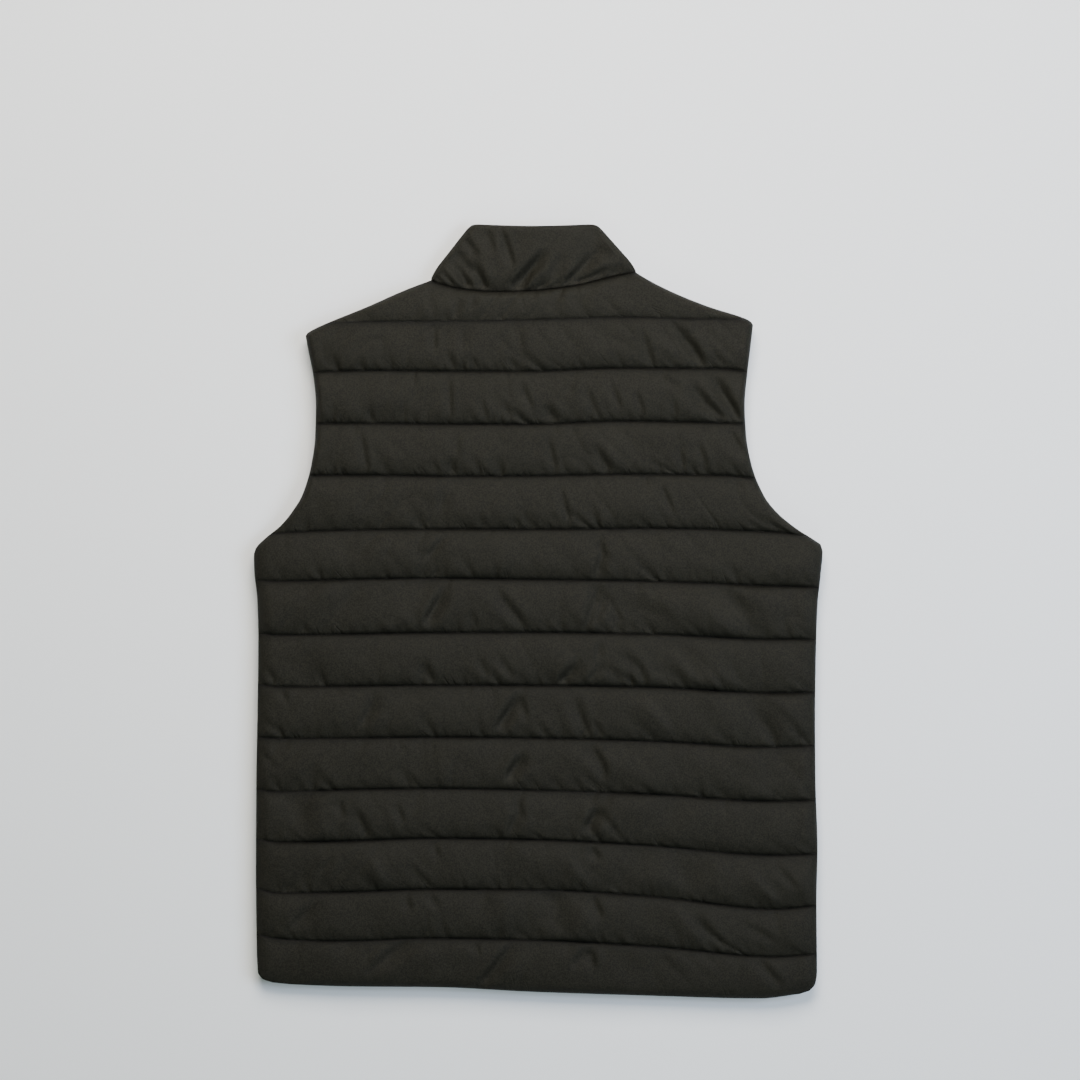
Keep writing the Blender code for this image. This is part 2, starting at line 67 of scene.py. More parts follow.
# ---- the cut of the vest

FRONT_TOP = 12.7
BACK_INNER = FRONT_TOP + SEAM_GAP
EDGE_WALL = 2.6
SEAM_RISE = 3.4
CHANNEL_PITCH = 50.0
# How far in from its edges a front and the back round off.
ROUND_SIDE, ROUND_EDGE, ROUND_NECK = 20.0, 12.0, 8.0
ROUND_BACK_SIDE, ROUND_BACK_EDGE = 15.0, 7.0
# How much thinner the padding is at the hem and the left side, and how fast that fades inwards;
# what it keeps of its rise at the neck; and how much its rise varies.
THIN_HEM, THIN_LEFT = (0.4, 34), (0.36, 36)
NECK_SHARE, RISE_VARIES = 0.4, 0.06
# A channel's fullness at its ends and what its dome adds, and the crevices at its foot and its top,
# each as depths and their reach.
DOME = 0.54, 0.46
FOOT_CREVICE, TOP_CREVICE = ((0.24, 0.045), (0.16, 0.17)), ((0.32, 0.03), (0.12, 0.13))
# On the fronts, how deep a stitch line sinks in, how early the padding lies flat, and the share of
# the back's creases and puckers that they have.
FRONT_GROOVE, FRONT_FLAT = 4.2, 1.2
FRONT_CREASES, FRONT_PUCKERS = 0.8, 1.3
FRONT_LEAST_WALL = 1.5

ZIP_X = -3.0
TAPE_WIDTH = 6.9
TAPE_Z = (6.6, 7.6)
CHAIN_Z = (4.6, 6.3)
FRONT_EDGE_X = TAPE_WIDTH + SEAM_GAP
FRONT_EDGE_Z = 4.0
NECK_BASE_Y = 232.0
COLLAR_HEIGHT = 60.0
HEM_LIFT = 4.0
ARMHOLE_SCOOP = 8.0
ZIP_BOTTOM = -368.0
ZIP_TOP = NECK_BASE_Y + COLLAR_HEIGHT - 2.0
SLIDER_Y = ZIP_TOP - 8.0
SLIDER_LENGTH = 11.0
SLIDER_POST_WIDTH, SLIDER_POST_LENGTH = 2.4, 2.6
# How far the tapes stay from the zip's own line and from the slider's post.
TAPE_APART, POST_CLEARANCE = 0.15, 0.4
# A tooth's middle from the zip's own line, and the first tooth from the chain's end; how wide a
# tooth is behind its head, and how wide and how thick its crown is.
TOOTH_REACH, FIRST_TOOTH = 0.75, 0.8
TOOTH_NECK, TOOTH_CROWN = 0.62, (0.92, 0.7)
# A stitch, how deep it lies in the cloth, and how far it strays from the line.
STITCH_LENGTH, STITCH_RADIUS, STITCH_DIP = 2.5, 0.24, 0.3
STITCH_SINK, STITCH_STRAY = 0.05, 0.05

COLLAR_WALL, COLLAR_EDGE = 7.0, 3.0
# How far the collar's layers part from the panels, and by which share of its height.
COLLAR_LIFT, COLLAR_LIFTED = 1.1, 0.22
COLLAR_SWELL = 4.5
COLLAR_ARCH = 1.9
COLLAR_CREASING, COLLAR_PUCKERS, COLLAR_STRIPS, COLLAR_RIPPLE = 2.1, 1.6, 0.8, 0.35
# How far the fold's middle stays inside its outline, past the wall, at the seam and at the top.
COLLAR_TURN = 0.6, 1.5
NECK_POINT = (-105.4, 325.4), (95.6, 333.2)
COLLAR_CORNER = (-67.1, 380.2), (58.3, 380.2)

# Points of the meshes: rows up each channel and columns across, on the back and on a front; rows up
# the collar; the collar's ring across the back, round each fold and along each front; rows up a tape.
BACK_GRID, FRONT_GRID, COLLAR_ROWS, COLLAR_RING = (20, 338), (16, 140), 34, (110, 12, 56)
TAPE_ROWS = 220

# What the camera looks at, across and up, and the height at which the view's width holds, in metres.
VIEW_CENTRE, VIEW_PLANE = (0.0015, 0.0706), 0.02
# The left light's share of the side light's power.
LEFT_SHARE = 0.03

# Side edges as (height, distance across), from the hem's corner to the neck.
LEFT_SIDE = [(-363.6, -261.2), (-360.0, -271.0), (-352.8, -275.4), (-331.0, -276.4), (-252.8, -277.3),
             (-164.6, -276.9), (-105.8, -275.9), (-27.4, -274.9), (11.8, -275.9), (39.2, -278.8),
             (54.9, -279.3), (62.7, -277.3)]
LEFT_ARMHOLE = [(62.7, -277.3), (70.6, -270.0), (85.3, -252.4), (100.0, -240.6), (114.7, -231.8),
                (144.0, -223.0), (173.5, -219.0), (202.9, -218.5), (232.3, -221.0), (256.8, -225.9),
                (272.4, -228.8)]
LEFT_SHOULDER = [(272.4, -228.8), (276.4, -222.5), (299.9, -167.0), (317.5, -126.9), (325.4, -105.4)]
RIGHT_SIDE = [(-374.9, 256.3), (-371.4, 266.0), (-363.6, 272.0), (-352.8, 273.4), (-282.2, 272.9),
              (-233.2, 273.9), (-164.6, 271.9), (-105.8, 271.5), (-37.2, 272.4), (6.9, 273.9),
              (36.3, 276.9), (58.8, 278.8), (65.2, 277.3)]
RIGHT_ARMHOLE = [(65.2, 277.3), (70.6, 270.0), (85.3, 248.4), (100.0, 231.8), (114.7, 221.0),
                 (144.0, 209.2), (173.5, 203.8), (202.9, 202.4), (232.3, 204.8), (261.7, 208.3),
                 (282.2, 210.7)]
RIGHT_SHOULDER = [(282.2, 210.7), (285.7, 207.3), (299.9, 166.0), (311.6, 136.7), (323.4, 112.2),
                  (333.2, 95.6)]
LEFT_EDGE = (LEFT_SIDE, LEFT_ARMHOLE, LEFT_SHOULDER)
RIGHT_EDGE = (RIGHT_SIDE, RIGHT_ARMHOLE, RIGHT_SHOULDER)

# Heights of the hem, the thirteen stitch lines and the neck seam at these shares of the width,
# and how deep each pulls the padding in.
STATIONS = (0.0, 0.04, 0.15, 0.31, 0.5, 0.7, 0.925, 1.0)
LINES = [
    (-363.6, -365.5, -367.5, -368.2, -372.9, -376.3, -379.3, -374.9),
    (-315.6, -320.0, -322.4, -319.5, -321.4, -327.3, -337.6, -334.7),
    (-270.5, -275.1, -274.4, -271.5, -272.0, -278.1, -290.9, -287.6),
    (-222.0, -225.4, -224.4, -221.5, -223.0, -228.7, -238.0, -236.7),
    (-173.5, -175.8, -174.0, -172.7, -174.4, -178.2, -185.1, -183.8),
    (-122.5, -123.5, -123.3, -122.5, -123.3, -126.2, -132.1, -130.3),
    (-70.6, -73.0, -72.5, -71.5, -71.8, -73.4, -79.1, -78.4),
    (-20.6, -22.2, -21.6, -20.1, -19.8, -21.4, -26.5, -26.5),
    (31.4, 30.5, 31.9, 33.3, 32.0, 30.4, 25.6, 24.5),
    (77.2, 78.6, 80.5, 81.4, 81.3, 82.3, 79.0, 75.0),
    (134.0, 134.3, 134.3, 133.3, 133.6, 135.2, 134.1, 131.0),
    (184.7, 184.9, 185.2, 184.2, 184.2, 187.2, 185.7, 184.7),
    (235.0, 236.0, 236.9, 236.2, 236.2, 239.2, 238.8, 236.2),
    (283.0, 284.4, 284.7, 285.3, 286.7, 289.0, 287.3, 288.1),
    (325.4, 322.4, 317.0, 314.3, 315.3, 320.2, 330.8, 333.2),
]
LINE_DEPTHS = [1.0] * 13 + [0.45, 0.7]
CHANNELS = len(LINES) - 1

# Creases: the depth and half width of each kind, and the corners of their paths, x and y by turns.
DEEP, FOLD, PUCKER, FAINT = (3.6, 3.4), (2.1, 3.2), (1.2, 2.3), (0.8, 3.2)
RIDGE, TICK, HOLLOW = (-1.4, 4.2), (0.9, 1.5), (0.8, 8.0)
BACK_CREASES = {
    DEEP: [(131, 279, 151, 259, 161, 241), (150, 221, 165, 204, 183, 188), (172, 229, 197, 188),
        (-91, 22, -110, -10), (39, -50, 21, -69), (-19, -83, -40, -113), (-14, -140, -30, -161),
        (59, -193, 47, -212), (-25, -326, -42, -348, -60, -367)],
    FOLD: [(-91, 255, -81, 236), (7, 202, 18, 187), (184, 180, 196, 163, 204, 153), (55, 161, 71, 138),
        (-87, 149, -82, 135), (59, 74, 62, 57, 57, 36), (58, 24, 55, 9, 46, -15),
        (-42, 22, -29, 5, -14, -12), (82, -41, 98, -54, 105, -67), (-114, -49, -103, -69),
        (34, -85, 47, -115, 49, -121), (-159, -83, -173, -109), (50, -131, 63, -150, 65, -161),
        (-179, -195, -167, -219), (-21, -180, -19, -195, -29, -216), (50, -230, 59, -241),
        (51, -277, 61, -298), (153, -300, 181, -326), (-217, -283, -241, -308), (50, -329, 54, -348),
        (50, -329, 34, -346), (213, -337, 227, -354, 237, -365), (-128, -322, -167, -352)],
    PUCKER: [(-105, 314, -102, 289), (-80, 307, -82, 289), (-64, 312, -66, 298), (100, 277, 112, 245),
        (119, 279, 140, 252), (169, 255, 183, 241), (-67, 250, -59, 237), (-30, 248, -18, 236),
        (-176, 244, -173, 236), (-102, 282, -102, 257), (112, 236, 138, 220), (94, 216, 103, 195),
        (69, 227, 80, 200), (46, 220, 59, 190), (131, 207, 135, 190), (-88, 229, -86, 193),
        (-57, 209, -50, 188), (-34, 202, -27, 188), (-18, 224, -6, 200), (193, 184, 208, 165),
        (9, 170, 18, 135), (138, 161, 142, 140), (155, 166, 165, 142), (-175, 179, -167, 140),
        (-105, 147, -96, 135), (21, 122, 31, 85), (119, 126, 131, 99), (-25, 92, -20, 83),
        (-59, 92, -50, 83), (-97, 42, -103, 36), (-92, 74, -108, 55), (66, 17, 57, -8), (66, 17, 82, -10),
        (-67, 0, -60, -15), (-232, -12, -227, -20), (62, -52, 49, -67), (62, -52, 93, -69),
        (-58, -46, -50, -63), (-40, -43, -25, -63), (60, -29, 57, -43), (-270, -52, -256, -69),
        (52, -106, 63, -121), (-19, -83, -11, -104), (-274, -102, -250, -121), (-253, -74, -246, -87),
        (-274, -135, -261, -148), (59, -193, 80, -219), (-196, -184, -191, -199),
        (-140, -187, -132, -206), (231, -247, 253, -270), (-103, -226, -98, -239),
        (-125, -250, -104, -269), (-215, -254, -202, -241), (201, -306, 233, -322),
        (-130, -281, -125, -291), (-108, -276, -98, -287), (-63, -322, -58, -335),
        (-12, -356, -25, -368)],
    FAINT: [(-73, 279, -75, 259), (-20, 284, -17, 259), (30, 224, 33, 214), (-80, 176, -80, 154),
        (188, 131, 201, 120), (-92, 124, -96, 97), (187, 20, 207, -2)],
    RIDGE: [(128, -39, 149, -63, 161, -71), (98, -83, 128, -117), (24, -235, 49, -270),
        (203, -254, 233, -285), (-167, -241, -147, -269), (128, -287, 159, -318),
        (-104, -322, -147, -356)],
    TICK: [(115, 300, 118, 289)],
}
COLLAR_CREASES = {
    FOLD: [(-64, 341, -52, 318), (4, 351, -25, 320), (59, 355, 28, 323)],
    PUCKER: [(-37, 375, -25, 341), (-76, 371, -60, 350), (-87, 344, -64, 320), (7, 353, -16, 325),
        (71, 337, 37, 323)],
    FAINT: [(-52, 376, -44, 354), (-84, 357, -66, 333), (25, 350, 12, 330)],
    RIDGE: [(66, 371, 80, 355)],
    TICK: [(-96, 336, -84, 322), (-78, 334, -68, 319)],
    HOLLOW: [(62, 372, 36, 338), (-84, 362, -66, 330)],
}
# Short creases beside a seam: how unevenly they are spaced, how far they run, their half width and
# by how many degrees they stray.
PUCKER_SPACING, PUCKER_REACH, PUCKER_WIDTH, PUCKER_STRAY = (0.45, 1.7), (3.5, 9), (1.3, 2.2), 15
# And at each kind of seam, the share of them that form, their distance apart, and their lean.
ABOVE_LINE = 0.9, 6.0, lambda at: 30 + 12 * math.tanh(at / 120)
BELOW_LINE = 0.5, 12.0, lambda at: 10.0
BELOW_NECK = 0.9, 9.0, lambda at: 30.0
ON_FRONTS = 0.85, 9.0, lambda at: -18.0
ON_COLLAR = 0.9, 5.5, lambda at: 30 if at < -40 else -36
# Soft folds between seams: their lean, and their share at the left side and at the right one; how
# wide and long are the patches with folds, the lumps and thin folds in them, and the lumps
# everywhere; and how high or deep lumps, thin folds and the lumps everywhere are.
RUMPLE_FOLDS = (44, 0.35, 1.0), (-40, 0.9, 0.3), (8, 0.35, 0.35)
PATCH_SIZE, LUMP_SIZE, THIN_FOLD_SIZE, SWELL_SIZE = (80, 60), (24, 60), (17, 50), (30, 24)
LUMP_HEIGHT, THIN_FOLD_DEPTH, SWELL_HEIGHT = 3.0, 1.1, 0.6


# ---- lines and outlines

def smooth_value(points, keys):
    """Values at keys on a smooth line through (key, value) points that never overshoots them."""
    known, values = np.array(points, float).T
    spans = np.diff(known)
    secants = np.diff(values) / spans
    product = secants[:-1] * secants[1:]
    inner = np.where(product > 0, 2 * product / np.where(product > 0, secants[:-1] + secants[1:], 1), 0)
    slopes = np.concatenate([secants[:1], inner, secants[-1:]])
    keys = np.clip(np.asarray(keys, float), known[0], known[-1])
    i = np.clip(np.searchsorted(known, keys, side="right") - 1, 0, len(spans) - 1)
    t = (keys - known[i]) / spans[i]
    return (values[i] * (1 + 2 * t) * (1 - t) ** 2 + slopes[i] * spans[i] * t * (1 - t) ** 2
            + values[i + 1] * t * t * (3 - 2 * t) + slopes[i + 1] * spans[i] * t * t * (t - 1))


def edge_x(edge, heights):
    """Where a side edge made of three smooth stretches lies at these heights."""
    side, armhole, shoulder = edge
    return np.where(heights <= side[-1][0], smooth_value(side, heights),
                    np.where(heights <= armhole[-1][0], smooth_value(armhole, heights),
                             smooth_value(shoulder, heights)))


def line_y(index, shares):
    """Height of the hem, a stitch line or the neck seam at these shares of the width."""
    return smooth_value(list(zip(STATIONS, LINES[index])), shares)


def distance_to(path, x, y):
    """Shortest way from points to a path of straight pieces."""
    best = np.full(np.shape(x), np.inf)
    for (ax, ay), (bx, by) in zip(path, path[1:]):
        dx, dy = bx - ax, by - ay
        t = np.clip(((x - ax) * dx + (y - ay) * dy) / max(dx * dx + dy * dy, 1e-9), 0, 1)
        best = np.minimum(best, np.hypot(x - ax - t * dx, y - ay - t * dy))
    return best


def rounding(distance, reach):
    """A quarter round: 0 on the edge, 1 from reach inwards."""
    inwards = np.clip(distance / reach, 0, 1)
    return np.sqrt(1 - (1 - inwards) ** 2)


def ease(t):
    """From 0 to 1 with a slow start and end."""
    return t * t * (3 - 2 * t)


def smoothstep(low, high, value):
    """0 up to low, 1 from high on, and eased between them."""
    return ease(np.clip((value - low) / (high - low), 0, 1))


def crowded_shares(count, reach=0.04, crowding=1.2):
    """Shares of a width or height, closer together beside both ends."""
    t = np.linspace(0, 1, 2001)
    density = 1 + crowding * (np.exp(-(t / reach) ** 2) + np.exp(-((1 - t) / reach) ** 2))
    total = np.concatenate([[0], np.cumsum((density[1:] + density[:-1]) / 2)])
    return np.interp(np.linspace(0, total[-1], count), total, t)


def panel_rows(count):
    """The channel of each row of points, and its share of the way up that channel."""
    steps = crowded_shares(count + 1, 0.07, 1.9)[:-1]
    channel = np.append(np.repeat(np.arange(CHANNELS), count), CHANNELS - 1)
    return channel, np.append(np.tile(steps, CHANNELS), 1.0)


def row_heights(channel, step, shares):
    """Heights of rows of points, given by channel and share of it, at shares of the width."""
    lines = np.stack([line_y(i, shares) for i in range(CHANNELS + 1)])
    return lines[channel] + (lines[channel + 1] - lines[channel]) * step[:, None]


def puff(step):
    """How full a channel is from one stitch line to the next: a low dome with a crevice at each end."""
    off_centre = np.abs(2 * step - 1)
    foot, top = (sum(depth * np.exp(-(1 - off_centre) / reach) for depth, reach in crevice)
                 for crevice in (FOOT_CREVICE, TOP_CREVICE))
    return DOME[0] + DOME[1] * (1 - off_centre ** 2.5) - np.where(step < 0.5, foot, top)


def quilting(channel, step):
    """How far the padding rises along a row: each stitch line pulls it in by its own depth."""
    depth = np.array(LINE_DEPTHS)
    nearer = np.where(step < 0.5, depth[channel], depth[channel + 1])
    return 1 - nearer * (1 - puff(step))


def soft_noise(rng, x, y, scale_x, scale_y):
    """Smooth noise of about -1 to 1 whose bumps are scale_x by scale_y across."""
    across, up = (x - x.min()) / scale_x, (y - y.min()) / scale_y
    grid = rng.standard_normal((int(up.max()) + 3, int(across.max()) + 3)) * 0.6
    i, j = up.astype(int), across.astype(int)
    u, v = ease(up - i), ease(across - j)
    low = grid[i, j] * (1 - v) + grid[i, j + 1] * v
    high = grid[i + 1, j] * (1 - v) + grid[i + 1, j + 1] * v
    return low * (1 - u) + high * u


# ---- creases and puckers

def fold_shape(t):
    """A fold across its width: a trough whose upper side is steep, between two soft rims."""
    trough = np.where(t > 0, np.exp(-t * t), np.exp(-(np.abs(t) / 2.3) ** 1.4))
    return -trough + 0.3 * np.exp(-((t + 3.4) / 1.7) ** 2) + 0.2 * np.exp(-((t - 2.4) / 1.3) ** 2)


def crease_relief(x, y, creases):
    """Height that creases add at points; each fades in from its start and ends beside a seam."""
    relief = np.zeros(x.shape)
    for (depth, width), path in ((kind, path) for kind, paths in creases.items() for path in paths):
        xs, ys = path[::2], path[1::2]
        reach = 5 * width + 3
        near = np.nonzero((x > min(xs) - reach) & (x < max(xs) + reach)
                          & (y > min(ys) - reach) & (y < max(ys) + reach))
        if not len(near[0]):
            continue
        px, py = x[near], y[near]
        path = list(zip(xs, ys))
        lengths = [math.dist(a, b) for a, b in zip(path, path[1:])]
        best, along, upper, done = np.full(px.shape, np.inf), np.zeros(px.shape), np.zeros(px.shape), 0.0
        for (ax, ay), (bx, by), length in zip(path, path[1:], lengths):
            ux, uy = (bx - ax) / length, (by - ay) / length
            t = (px - ax) * ux + (py - ay) * uy
            held = np.clip(t, 0, length)
            away = np.hypot(px - ax - held * ux, py - ay - held * uy)
            closer = away < best
            best = np.where(closer, away, best)
            along = np.where(closer, (done + t) / sum(lengths), along)
            across = (py - ay) * ux - (px - ax) * uy
            upper = np.where(closer, np.sign(across) * (1 if ux >= 0 else -1), upper)
            done += length
        ends = smoothstep(-0.2, 0.45, along) * (1 - smoothstep(0.75, 1.2, along))
        spread = width * (1.25 - 0.35 * np.clip(along, 0, 1))
        relief[near] += depth * ends * fold_shape(upper * best / spread)
    return relief


def seam_puckers(rng, x, above, depth, formed, pitch, lean):
    """Relief of short creases that fan out from a seam; above is the distance from that seam."""
    relief = np.zeros(x.shape)
    at, high = x.min(), x.max()
    while at < high:
        at += pitch * rng.uniform(*PUCKER_SPACING)
        if rng.random() > formed:
            continue
        # Many are small and a few up to twice as deep; a deeper one runs further out.
        size = depth * min(rng.lognormal(-0.55, 0.6), 2.0)
        length = rng.uniform(*PUCKER_REACH) * (1 + 0.5 * size / depth)
        slope = math.tan(math.radians(lean(at) + rng.normal(0, PUCKER_STRAY)))
        width = rng.uniform(*PUCKER_WIDTH)
        near = np.nonzero(np.abs(x + slope * above - at) < 14)
        away, up = x[near] - at + slope * above[near], np.maximum(above[near], 0)
        fade = np.exp(-(up / length) ** 1.5) * (1 - 0.7 * np.exp(-up / 1.2))
        relief[near] += size * fade * fold_shape(away / (width * (1 + up / 9)))
    return relief


def strips(rng, x, y, lean, across, along):
    """Smooth noise in strips that lean to the left by that many degrees as they rise."""
    cos, sin = math.cos(math.radians(lean)), math.sin(math.radians(lean))
    return soft_noise(rng, x * cos + y * sin, y * cos - x * sin, across, along)


def rumple(rng, x, y, channel):
    """Soft lumps and thin folds between seams, which lean either way in patches."""
    channel = channel[:, None]
    # Each channel takes its own part of the noise, so no fold runs on past a seam.
    apart = y + 40.0 * channel * np.ones_like(x)
    shifted = x + (37.0 * channel % 90)
    total = np.zeros(x.shape)
    rightwards = smoothstep(-80, 120, x)
    smoother = 1 - 0.6 * smoothstep(5, 10, channel)  # the upper channels lie smoother
    for lean, left, right in RUMPLE_FOLDS:
        share = left + (right - left) * rightwards
        patch = share * smoothstep(-0.5, 0.7, soft_noise(rng, shifted, apart, *PATCH_SIZE))
        lump = strips(rng, shifted, apart, lean, *LUMP_SIZE)
        fold = strips(rng, shifted, apart, lean, *THIN_FOLD_SIZE)
        total += patch * (LUMP_HEIGHT * smoother * lump
                          - THIN_FOLD_DEPTH * np.maximum(1 - 1.8 * np.abs(fold), 0) ** 2)
    return total + SWELL_HEIGHT * soft_noise(rng, shifted, apart, *SWELL_SIZE)


# ---- meshes

def grid_faces(rows, columns):
    """The four corners of each face of a grid of points."""
    index = np.arange(rows * columns).reshape(rows, columns)
    quads = np.stack([index[:-1, :-1], index[:-1, 1:], index[1:, 1:], index[1:, :-1]], -1)
    return quads.reshape(-1, 4)


def mesh_object(name, points, faces):
    """An object from points in metres and its faces."""
    mesh = bpy.data.meshes.new(name)
    mesh.from_pydata(points.reshape(-1, 3).tolist(), [], faces)
    made = bpy.data.objects.new(name, mesh)
    bpy.context.scene.collection.objects.link(made)
    return made


def edit(mesh, change):
    """Lets a function change a mesh's points, edges and faces."""
    bm = bmesh.new()
    bm.from_mesh(mesh)
    change(bm)
    bm.to_mesh(mesh)
    bm.free()


def close_up(bm):
    """Fills open rims in and turns all faces outwards."""
    bmesh.ops.holes_fill(bm, edges=[e for e in bm.edges if e.is_boundary], sides=0)
    bmesh.ops.recalc_face_normals(bm, faces=bm.faces)


def panel_shell(name, points, plane):
    """A panel from a grid of points whose rim drops to a plane that closes it, and that rim's points."""
    rows, columns = points.shape[:2]
    index = np.arange(rows * columns).reshape(rows, columns)
    rim = np.concatenate([index[0, :-1], index[:-1, -1], index[-1, :0:-1], index[:0:-1, 0]])
    foot = rows * columns + np.arange(len(rim))
    wall = np.stack([rim, foot, np.roll(foot, -1), np.roll(rim, -1)], -1)
    points = points.reshape(-1, 3)
    points = np.concatenate([points, points[rim] * (1 - UP) + plane * UP]) * MM
    faces = [*grid_faces(rows, columns).tolist(), *wall.tolist(), foot[::-1].tolist()]
    made = mesh_object(name, points, faces)
    edit(made.data, close_up)
    return made, rim


def closed_tube(name, rings):
    """An object from rings of points, the last the same as the first, whose ends are filled."""
    rows, columns = len(rings) - 1, rings.shape[1]
    faces = grid_faces(rows + 1, columns) % (rows * columns)
    made = mesh_object(name, rings[:-1] * MM, faces.tolist())
    edit(made.data, close_up)
    return made


def beside_seams(across, up, lean):
    """Places beside the seams, in metres: along the seam on lines that lean, and up from it."""
    away = up % CHANNEL_PITCH
    return np.stack([across + lean * away, up], -1).reshape(-1, 2) * MM


def finish_cloth(piece, material, places=None, angle=50):
    """The UV map of each point's place beside the seams, the material and smooth shading."""
    if places is not None:
        corner = np.empty(len(piece.data.loops), np.int32)
        piece.data.loops.foreach_get("vertex_index", corner)
        seam = piece.data.uv_layers.new(name="seam")
        seam.data.foreach_set("uv", places[corner].astype(np.float32).ravel())
    piece.data.materials.append(material)
    piece.data.shade_smooth()
    piece.data.set_sharp_from_angle(angle=math.radians(angle))


def ease_edges(piece, width, segments):
    """Bevels the sharp edges of a hard piece."""
    bevel = piece.modifiers.new("Eased edges", "BEVEL")
    bevel.width, bevel.segments = width, segments
    bevel.limit_method, bevel.angle_limit = "ANGLE", math.radians(40)
    bpy.ops.object.modifier_apply(modifier=bevel.name)


def copies_of(template, places, name):
    """One mesh of copies of an object's points, each turned and put in its place; the object goes."""
    source = np.array([v.co[:] for v in template.data.vertices])
    faces = [list(p.vertices) for p in template.data.polygons]
    points, polygons = [], []
    for number, (origin, along, up) in enumerate(places):
        along = along / np.linalg.norm(along)
        across = np.cross(up, along)
        across /= np.linalg.norm(across)
        turned = source @ np.stack([across, along, np.cross(along, -across)])
        points.append(turned + origin * MM)
        polygons.extend([number * len(source) + v for v in face] for face in faces)
    bpy.data.objects.remove(template)
    return mesh_object(name, np.concatenate(points), polygons)


# ---- materials

BLACK = (0.0, 0.0, 0.0, 1.0)


class Value:
    """A number in a material: Python's operators on it add the Math nodes."""

    def __init__(self, graph, socket):
        self.graph = graph
        self.socket = socket

    def _with(self, operation, *values):
        return self.graph.node("ShaderNodeMath", {"operation": operation}, dict(enumerate(values)))

    def __add__(self, other):
        return self._with("ADD", self, other)

    def __sub__(self, other):
        return self._with("SUBTRACT", self, other)

    def __rsub__(self, other):
        return self._with("SUBTRACT", other, self)

    def __mul__(self, other):
        return self._with("MULTIPLY", self, other)

    def __mod__(self, other):
        return self._with("MODULO", self, other)

    __radd__ = __add__
    __rmul__ = __mul__

    def sine(self):
        return self._with("SINE", self)

    def waves(self, pitch):
        """Waves from -1 to 1 along the number."""
        return (self * (2 * math.pi / pitch)).sine()

    def fading(self, rate):
        """1 where the number is 0, and less as it grows."""
        return self._with("EXPONENT", self * -rate)

    def clamped(self):
        return self.graph.node("ShaderNodeClamp", {}, {"Value": self})


class Graph:
    """A material's nodes, added by one method."""

    def __init__(self, name):
        self.material = bpy.data.materials.new(name)
        self.material.use_nodes = True
        self.tree = self.material.node_tree
        self.surface = self.tree.nodes["Principled BSDF"]

    def node(self, kind, settings=None, inputs=None, output=0):
        made = self.tree.nodes.new(kind)
        for key, value in (settings or {}).items():
            setattr(made, key, value)
        for key, value in (inputs or {}).items():
            self.feed(made.inputs[key], value)
        return Value(self, made.outputs[output])

    def feed(self, socket, value):
        if isinstance(value, Value):
            self.tree.links.new(value.socket, socket)
        else:
            socket.default_value = value

    def set(self, **inputs):
        for key, value in inputs.items():
            self.feed(self.surface.inputs[key.replace("_", " ")], value)

    def mix(self, share, first, second):
        return self.node("ShaderNodeMix", {"data_type": "RGBA"}, {0: share, 6: first, 7: second}, 2)

    def tones(self, share, colour, darker, lighter):
        """A colour between two of its tones."""
        return self.mix(share, tint(colour, darker), tint(colour, lighter))

    def noise(self, where, scale, detail=2.0, roughness=0.5):
        return self.node("ShaderNodeTexNoise", {}, {"Vector": where, "Scale": scale, "Detail": detail,
                                                    "Roughness": roughness})

    def mapping(self, where, **inputs):
        return self.node("ShaderNodeMapping", {}, {"Vector": where, **inputs})

    def bump(self, height, distance, strength, **normal):
        inputs = {"Height": height, "Distance": distance, "Strength": strength, **normal}
        return self.node("ShaderNodeBump", {}, inputs)

    def place(self):
        """Where a point is on its own object, in metres."""
        return self.node("ShaderNodeTexCoord", {}, {}, 3)

    def numbers(self, vector):
        """The three numbers of a vector."""
        split = self.node("ShaderNodeSeparateXYZ", {}, {0: vector}).socket.node
        return [Value(self, output) for output in split.outputs]


def tint(colour, factor):
    return tuple(min(c * factor, 1.0) for c in colour) + (1.0,)


